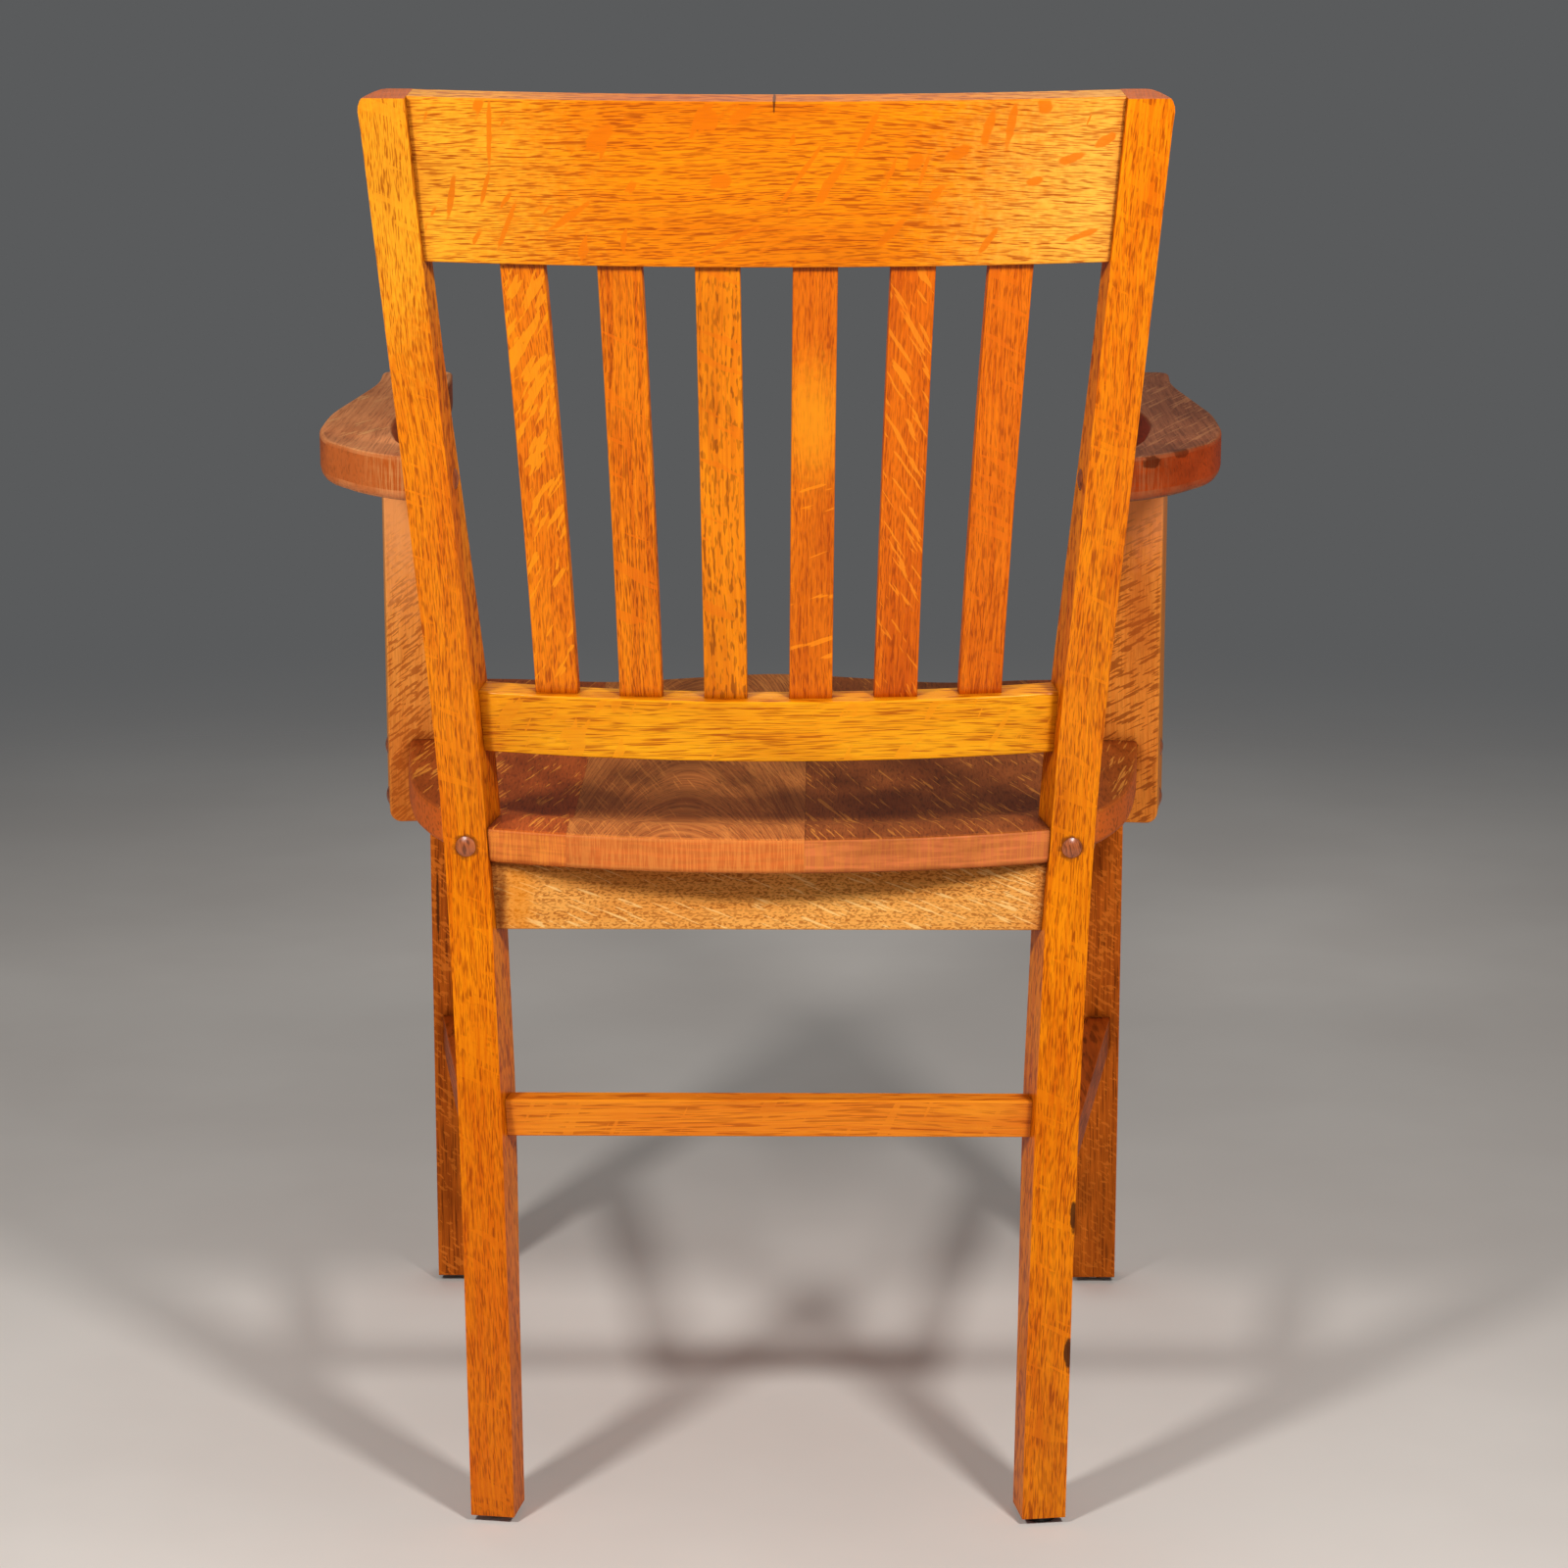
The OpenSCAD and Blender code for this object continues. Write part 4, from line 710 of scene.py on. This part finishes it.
def hull_near(node, height, thick):
    """The convex hull of a solid near a slab that it goes through, for cutting the slab."""
    bm = bmesh.new()
    bm.from_mesh(NODES[node].data)
    bisected(bm, (0, 0, height - CUT_BELOW * thick), (0, 0, -1))
    bisected(bm, (0, 0, height + CUT_ABOVE * thick), (0, 0, 1))
    points = [v.co.copy() for v in bm.verts]
    bm.clear()
    made = bmesh.ops.convex_hull(bm, input=[bm.verts.new(p) for p in points])
    spare = {g for g in made["geom_interior"] if isinstance(g, bmesh.types.BMVert)}
    bmesh.ops.delete(bm, geom=list(spare), context="VERTS")
    return new_object("cut_" + node, bm)


def cut(obj, cutters):
    """Takes the cutters out of the piece and keeps its attributes."""
    for cutter in cutters:
        step = obj.modifiers.new("cut", "BOOLEAN")
        step.operation = "DIFFERENCE"
        step.solver = "EXACT"
        step.object = cutter
    graph = bpy.context.evaluated_depsgraph_get()
    mesh = bpy.data.meshes.new_from_object(obj.evaluated_get(graph),
                                           preserve_all_data_layers=True, depsgraph=graph)
    obj.modifiers.clear()
    obj.data = mesh


def spline(points):
    """A smooth curve through the points."""
    out = []
    last = len(points) - 1
    for i in range(last):
        a, b, c, d = (Vector(points[min(max(k, 0), last)]) for k in (i - 1, i, i + 1, i + 2))
        for step in range(SPLINE_STEPS):
            t = step / SPLINE_STEPS
            out.append((2 * b + (c - a) * t + (2 * a - 5 * b + 4 * c - d) * t * t
                        + (3 * b - a - 3 * c + d) * t ** 3) / 2)
    return out + [Vector(points[last])]


def arc(centre, radius, start, stop, steps):
    return [Vector(centre) + radius * Vector((math.cos(a), math.sin(a)))
            for a in np.linspace(start, stop, steps + 1)]


def inset(loop, distance):
    """The closed loop, anticlockwise, moved inward by a distance."""
    out = []
    for i, point in enumerate(loop):
        before, after = loop[i - 1], loop[(i + 1) % len(loop)]
        one, two = (point - before).normalized(), (after - point).normalized()
        normal = Vector((-one.y - two.y, one.x + two.x)).normalized()
        # At most twice the distance, at sharp corners
        spread = max(normal.dot(Vector((-one.y, one.x))), 0.5)
        out.append(point + normal * (distance / spread))
    return out


def anticlockwise(loop):
    area = sum(a.x * b.y - a.y * b.x for a, b in zip(loop, loop[1:] + loop[:1]))
    return loop if area > 0 else loop[::-1]


def rounded_slab(loop, top_round, low_round, heights, cell=None):
    """A slab with the loop's outline and rounded edges. heights gives its under and upper side."""
    loop = anticlockwise(loop)
    turns = [math.pi / 2 * i / ROUND_STEPS for i in range(ROUND_STEPS + 1)]
    rings = [(low_round * (1 - math.sin(t)), low_round * (1 - math.cos(t)), 0) for t in turns]
    rings += [(top_round * (1 - math.cos(t)), -top_round * (1 - math.sin(t)), 1) for t in turns]
    bm = bmesh.new()
    arris = bm.faces.layers.float.new("arris")
    rows = []
    for share, lift, side in rings:
        flat = inset(loop, share)
        rows.append([bm.verts.new((p.x, p.y, heights(p)[side] + lift)) for p in flat])
    count = len(loop)
    for k, (low, high) in enumerate(zip(rows, rows[1:])):
        for i in range(count):
            face = bm.faces.new((low[i], low[(i + 1) % count], high[(i + 1) % count], high[i]))
            face[arris] = 0 if k == ROUND_STEPS else 1
    bm.faces.new(rows[0][::-1])
    if cell is None:
        bm.faces.new(rows[-1])
    else:
        fill_top(bm, rows[-1], cell, heights)
    return bm


def fill_top(bm, rim, cell, heights):
    """Covers the slab's top with small cells, so that it can follow a hollow."""
    flat = [Vector((v.co.x, v.co.y)) for v in rim]
    inner = inset(flat, cell * CELL_INSET)
    xs, ys = [p.x for p in flat], [p.y for p in flat]
    grid = [Vector((x, y)) for x in np.arange(min(xs), max(xs), cell)
            for y in np.arange(min(ys), max(ys), cell) if inside(inner, x, y)]
    edges = [(i, (i + 1) % len(flat)) for i in range(len(flat))]
    places, _, faces, sources, _, _ = delaunay_2d_cdt(flat + grid, edges, [], 1, WELD)
    verts = []
    for place, source in zip(places, sources):
        if source and source[0] < len(rim):
            verts.append(rim[source[0]])
        else:
            verts.append(bm.verts.new((place.x, place.y, heights(place)[1])))
    for face in faces:
        bm.faces.new([verts[i] for i in face])


def inside(loop, x, y):
    """Whether a point lies in the loop."""
    found = False
    for a, b in zip(loop, loop[1:] + loop[:1]):
        if (a.y > y) != (b.y > y) and x < a.x + (y - a.y) / (b.y - a.y) * (b.x - a.x):
            found = not found
    return found


def placed(bm, origin, tilt):
    """Moves a slab to its origin, leaning back by an angle."""
    move = Matrix.Translation(origin) @ Matrix.Rotation(-tilt, 4, "X")
    bmesh.ops.transform(bm, matrix=move, verts=bm.verts)


# Seat

SEAT_REAR_IN = POST_PLACE + (SEAT_IN - POST_W / 2) * POST_OUT - SEAT_IN * POST_BACK
SEAT_EAR_IN = POST_PLACE + (POST_W / 2 - SEAT_IN) * POST_OUT - (POST_D - SEAT_IN) * POST_BACK
SEAT_BACK_R = bow_radius(SEAT_REAR_IN.x, SEAT_BACK_BOW)
SEAT_Y = SEAT_REAR_IN.y + SEAT_BACK_BOW
SEAT_FRONT_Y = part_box("seat_board_2")[0][1]
SEAT_D = SEAT_Y - SEAT_FRONT_Y
SUPPORT_REAR_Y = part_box("arm_support_left")[1][1]


def seat_top(x, y):
    """Height of the saddle above the underside, at y from the rear edge's middle."""
    s = abs(x) / SEAT_HALF_W
    t = -y / SEAT_D
    edge = math.sqrt(SEAT_BACK_R ** 2 - x * x) - SEAT_BACK_R - y
    hollow = (smooth(SEAT_RIM_W, (1 + FALL_SHARE) * SEAT_RIM_W, edge)
              * (1 - smooth(*SIDE_FADE, s)) * (1 - smooth(*FRONT_FADE, t)))
    rise = smooth(*FRONT_RISE, t)
    return (SEAT_T - SEAT_DISH * hollow + rise * (SEAT_RIDGE * bell(s, BELL_SHARE)
            - THIGH_DISH * bell(s - THIGH_SHARE, BELL_SHARE)))


def seat_outline():
    """The seat's outline, about the middle of its rear edge."""
    half_angle = math.asin(SEAT_REAR_IN.x / SEAT_BACK_R)
    quarter = math.pi / 2
    rear = arc((0, SEAT_Y - SEAT_BACK_R), SEAT_BACK_R, quarter, quarter - half_angle, BOW_STEPS)
    wide = SEAT_HALF_W - SEAT_EAR_IN.x
    deep = SEAT_EAR_IN.y - SUPPORT_REAR_Y
    ear = spline([(SEAT_EAR_IN.x + a * wide, SEAT_EAR_IN.y - b * deep) for a, b in EAR_SHARES])
    slope = (SEAT_FRONT_HALF_W - SEAT_HALF_W) / (SUPPORT_REAR_Y - SEAT_FRONT_Y)
    side_angle = math.atan(slope)
    front_r = bow_radius(SEAT_FRONT_HALF_W, SEAT_FRONT_BOW)
    front_o = Vector((0, SEAT_FRONT_Y + front_r))
    corner_x = (SEAT_FRONT_HALF_W - slope * (SEAT_FRONT_BOW + SEAT_CORNER_R)
                - SEAT_CORNER_R / math.cos(side_angle))
    corner_y = front_o.y - math.sqrt((front_r - SEAT_CORNER_R) ** 2 - corner_x ** 2)
    corner_angle = math.atan2(corner_y - front_o.y, corner_x)
    corner = arc((corner_x, corner_y), SEAT_CORNER_R, side_angle, corner_angle, CORNER_STEPS)
    side = [ear[-1].lerp(corner[0], k / SIDE_STEPS) for k in range(1, SIDE_STEPS)]
    front = arc(front_o, front_r, corner_angle, -quarter, BOW_STEPS)
    half = rear + ear + side + corner + front[1:]
    other = [Vector((-p.x, p.y)) for p in half[-2:0:-1]]
    return [p - Vector((0, SEAT_Y)) for p in half + other]


def make_seat():
    """The glued seat, cut into its boards at the joints that the frame has."""
    whole = rounded_slab(seat_outline(), SEAT_TOP_ROUND, SEAT_LOW_ROUND,
                         lambda p: (0, seat_top(p.x, p.y)), SEAT_CELL)
    placed(whole, (0, SEAT_Y, SEAT_H - SEAT_T), SEAT_TILT)
    cutters = [hull_near(f"{kind}_{side}", SEAT_H, SEAT_T)
               for kind in ("back_post", "arm_support") for side in ("left", "right")]
    for k in range(1, SEAT_BOARDS + 1):
        bm = whole.copy()
        low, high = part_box(f"seat_board_{k}")
        # The first board has no joint at its high side, and the last none at its low side
        for x, side, end_board in ((high[0], 1, 1), (low[0], -1, SEAT_BOARDS)):
            if k == end_board:
                continue
            rim = bisected(bm, (x, 0, 0), (side, 0, 0))
            if rim:
                bmesh.ops.holes_fill(bm, edges=rim, sides=0)
        bmesh.ops.recalc_face_normals(bm, faces=bm.faces)
        obj = new_object(f"look_seat_board_{k}", bm)
        cut(obj, cutters)
        finish_piece(obj, f"seat_board_{k}", f"seat_{k}", FRONT, UP)
    whole.free()
    for cutter in cutters:
        bpy.data.objects.remove(cutter)


# Arms

def arm_outline(sign):
    """The arm's outline, with y from the post's rear corner. sign is 1 on the left."""
    start_x = ARM_START.x
    outer, inner = (spline([(start_x + a * ARM_REACH, -b * ARM_LEN) for a, b in shares])
                    for shares in (OUTER_SHARES, INNER_SHARES))
    quarter = math.pi / 2
    end_y = ARM_END_R - ARM_LEN
    end_a = arc((outer[-1].x - ARM_END_R, end_y), ARM_END_R, 0, -quarter, ARM_END_STEPS)
    end_b = arc((inner[0].x + ARM_END_R, end_y), ARM_END_R, -quarter, -2 * quarter,
                ARM_END_STEPS)
    rear, front = ([Vector((start_x - x, -y))] for x, y in ARM_LAPS)
    loop = rear + outer + end_a + end_b + inner + front
    return [Vector((sign * p.x, p.y)) for p in loop]


def make_arm(side, sign):
    node = f"arm_{side}"
    bm = rounded_slab(arm_outline(sign), ARM_TOP_ROUND, ARM_LOW_ROUND, lambda p: (-ARM_T, 0))
    placed(bm, (0, ARM_START.y, ARM_H), ARM_TILT)
    bmesh.ops.recalc_face_normals(bm, faces=bm.faces)
    obj = new_object("look_" + node, bm)
    cutter = hull_near(f"back_post_{side}", ARM_H, ARM_T)
    cut(obj, [cutter])
    bpy.data.objects.remove(cutter)
    finish_piece(obj, node, node, FRONT, UP)


# Sawn pieces: each takes its node's solid, with the grain along it

def long_axis(node):
    """The way from the middle of a solid's lower end to the middle of its upper end."""
    points = np.array([v.co[:] for v in NODES[node].data.vertices])
    z = points[:, 2]
    span = z.max() - z.min()
    low = points[z <= z.min() + span * END_SHARE].mean(axis=0)
    high = points[z >= z.min() + span * (1 - END_SHARE)].mean(axis=0)
    return Vector(high - low)


def make_sawn():
    # The back's pieces lean, so their rear faces look up a little
    rear = (0, 1, 0.2)
    for side in ("left", "right"):
        post = f"back_post_{side}"
        rounded_copy(post, f"post_{side}", long_axis(post), rear)
        rounded_copy(f"front_leg_{side}", "leg", UP, BACK)
        rounded_copy(f"arm_support_{side}", f"support_{side}", UP, (0.1, 1, 0))
        rounded_copy(f"side_stretcher_{side}", "side", BACK, ACROSS)
        rounded_copy(f"side_apron_{side}", "apron", BACK, ACROSS)
        for end in ("front", "rear"):
            rounded_copy(f"corner_block_{end}_{side}", "block", ACROSS, UP)
    rounded_copy("crest_rail", "crest", ACROSS, rear)
    rounded_copy("lower_back_rail", "rail", ACROSS, rear)
    rounded_copy("rear_stretcher", "stretcher", ACROSS, BACK)
    rounded_copy("rear_apron", "apron", ACROSS, BACK)
    rounded_copy("front_apron", "apron", ACROSS, BACK)
    for k in range(1, 7):
        slat = f"back_slat_{k}"
        rounded_copy(slat, f"slat_{k}", long_axis(slat), rear, SLAT_ARRIS)
    for node in ("seat_post_plugs", "arm_post_plugs", "support_plugs"):
        rounded_copy(node, "plug", (0.2, 0.1, 1), BACK, PLUG_ARRIS)


def dress_small():
    """Materials for the nodes that show as they are."""
    looks = {"dowels": "beech", "screws": "screw", "nail": "screw"}
    for node, obj in NODES.items():
        look = looks.get(node.rsplit("_", 1)[-1])
        if node.startswith("glide"):
            look = "glide"
        if node.startswith("pad_rear"):
            look = "pad"
        if look:
            obj.data.materials.clear()
            obj.data.materials.append(LOOKS[look])


# Stage

BACKDROP = srgb(90, 91, 92)
FLOOR_HALF = 6
FLOOR_CELLS = 8
FLOOR_FADE = (1.1, 3.2)
FLOOR_CLOUDS = 2.5
LAMP_AIM = Vector((0, 0, 0.45))
LAMP_COLOUR = (1, 0.97, 0.94)
# Place, diameter in metres and power in watts
LAMPS = {
    "left_lamp": ((0.82, 1.2, 1.31), 0.22, 14),
    "right_lamp": ((-0.65, 1.2, 1.31), 0.22, 14),
    "top_lamp": ((0, -1.3, 2.5), 2, 12),
}


def make_floor():
    """A pale floor that fades into the backdrop beyond the chair's shadows."""
    bm = bmesh.new()
    bmesh.ops.create_grid(bm, x_segments=FLOOR_CELLS, y_segments=FLOOR_CELLS, size=FLOOR_HALF)
    floor = new_object("floor", bm)
    tree = Tree("floor_paint")
    here = tree.here()
    cloud = tree.patches(here, (FLOOR_CLOUDS,) * 3, (0.3, 0.7), 4)
    tree.feed("Base Color", tree.mix(cloud, srgb(228, 222, 216), srgb(236, 231, 225)))
    tree.feed("Roughness", 0.8)
    tree.feed("Specular IOR Level", 0.2)
    tree.feed("Alpha", tree.band(tree.length(here), *FLOOR_FADE, 1, 0))
    floor.data.materials.append(tree.material)


def make_world():
    world = bpy.data.worlds.new("studio")
    bpy.context.scene.world = world
    world.use_nodes = True
    back = world.node_tree.nodes["Background"]
    back.inputs["Color"].default_value = BACKDROP
    back.inputs["Strength"].default_value = 1


def add_aimed(name, data, place, aim):
    """Adds a lamp or a camera that looks along a direction."""
    obj = bpy.data.objects.new(name, data)
    obj.location = place
    obj.rotation_euler = aim.to_track_quat("-Z", "Y").to_euler()
    bpy.context.scene.collection.objects.link(obj)
    return obj


def add_lamps():
    for name, (place, size, power) in LAMPS.items():
        lamp = bpy.data.lights.new(name, "AREA")
        lamp.shape = "DISK"
        lamp.size = size
        lamp.energy = power
        lamp.color = LAMP_COLOUR
        obj = add_aimed(name, lamp, place, LAMP_AIM - Vector(place))
        obj.visible_camera = False


def add_camera():
    lens = bpy.data.cameras.new("camera")
    lens.sensor_width = SENSOR_MM
    lens.lens = SENSOR_MM * CAMERA_FOCUS_PX / PHOTO_WIDTH_PX
    lens.clip_start = CAMERA_NEAR
    level = math.cos(CAMERA_PITCH)
    aim = Vector((math.sin(CAMERA_YAW) * level, -math.cos(CAMERA_YAW) * level,
                  -math.sin(CAMERA_PITCH)))
    bpy.context.scene.camera = add_aimed("camera", lens, CAMERA_PLACE, aim)


make_sawn()
make_seat()
make_arm("left", 1)
make_arm("right", -1)
dress_small()
make_floor()
make_world()
add_lamps()
add_camera()
bpy.context.scene.view_settings.view_transform = "Standard"
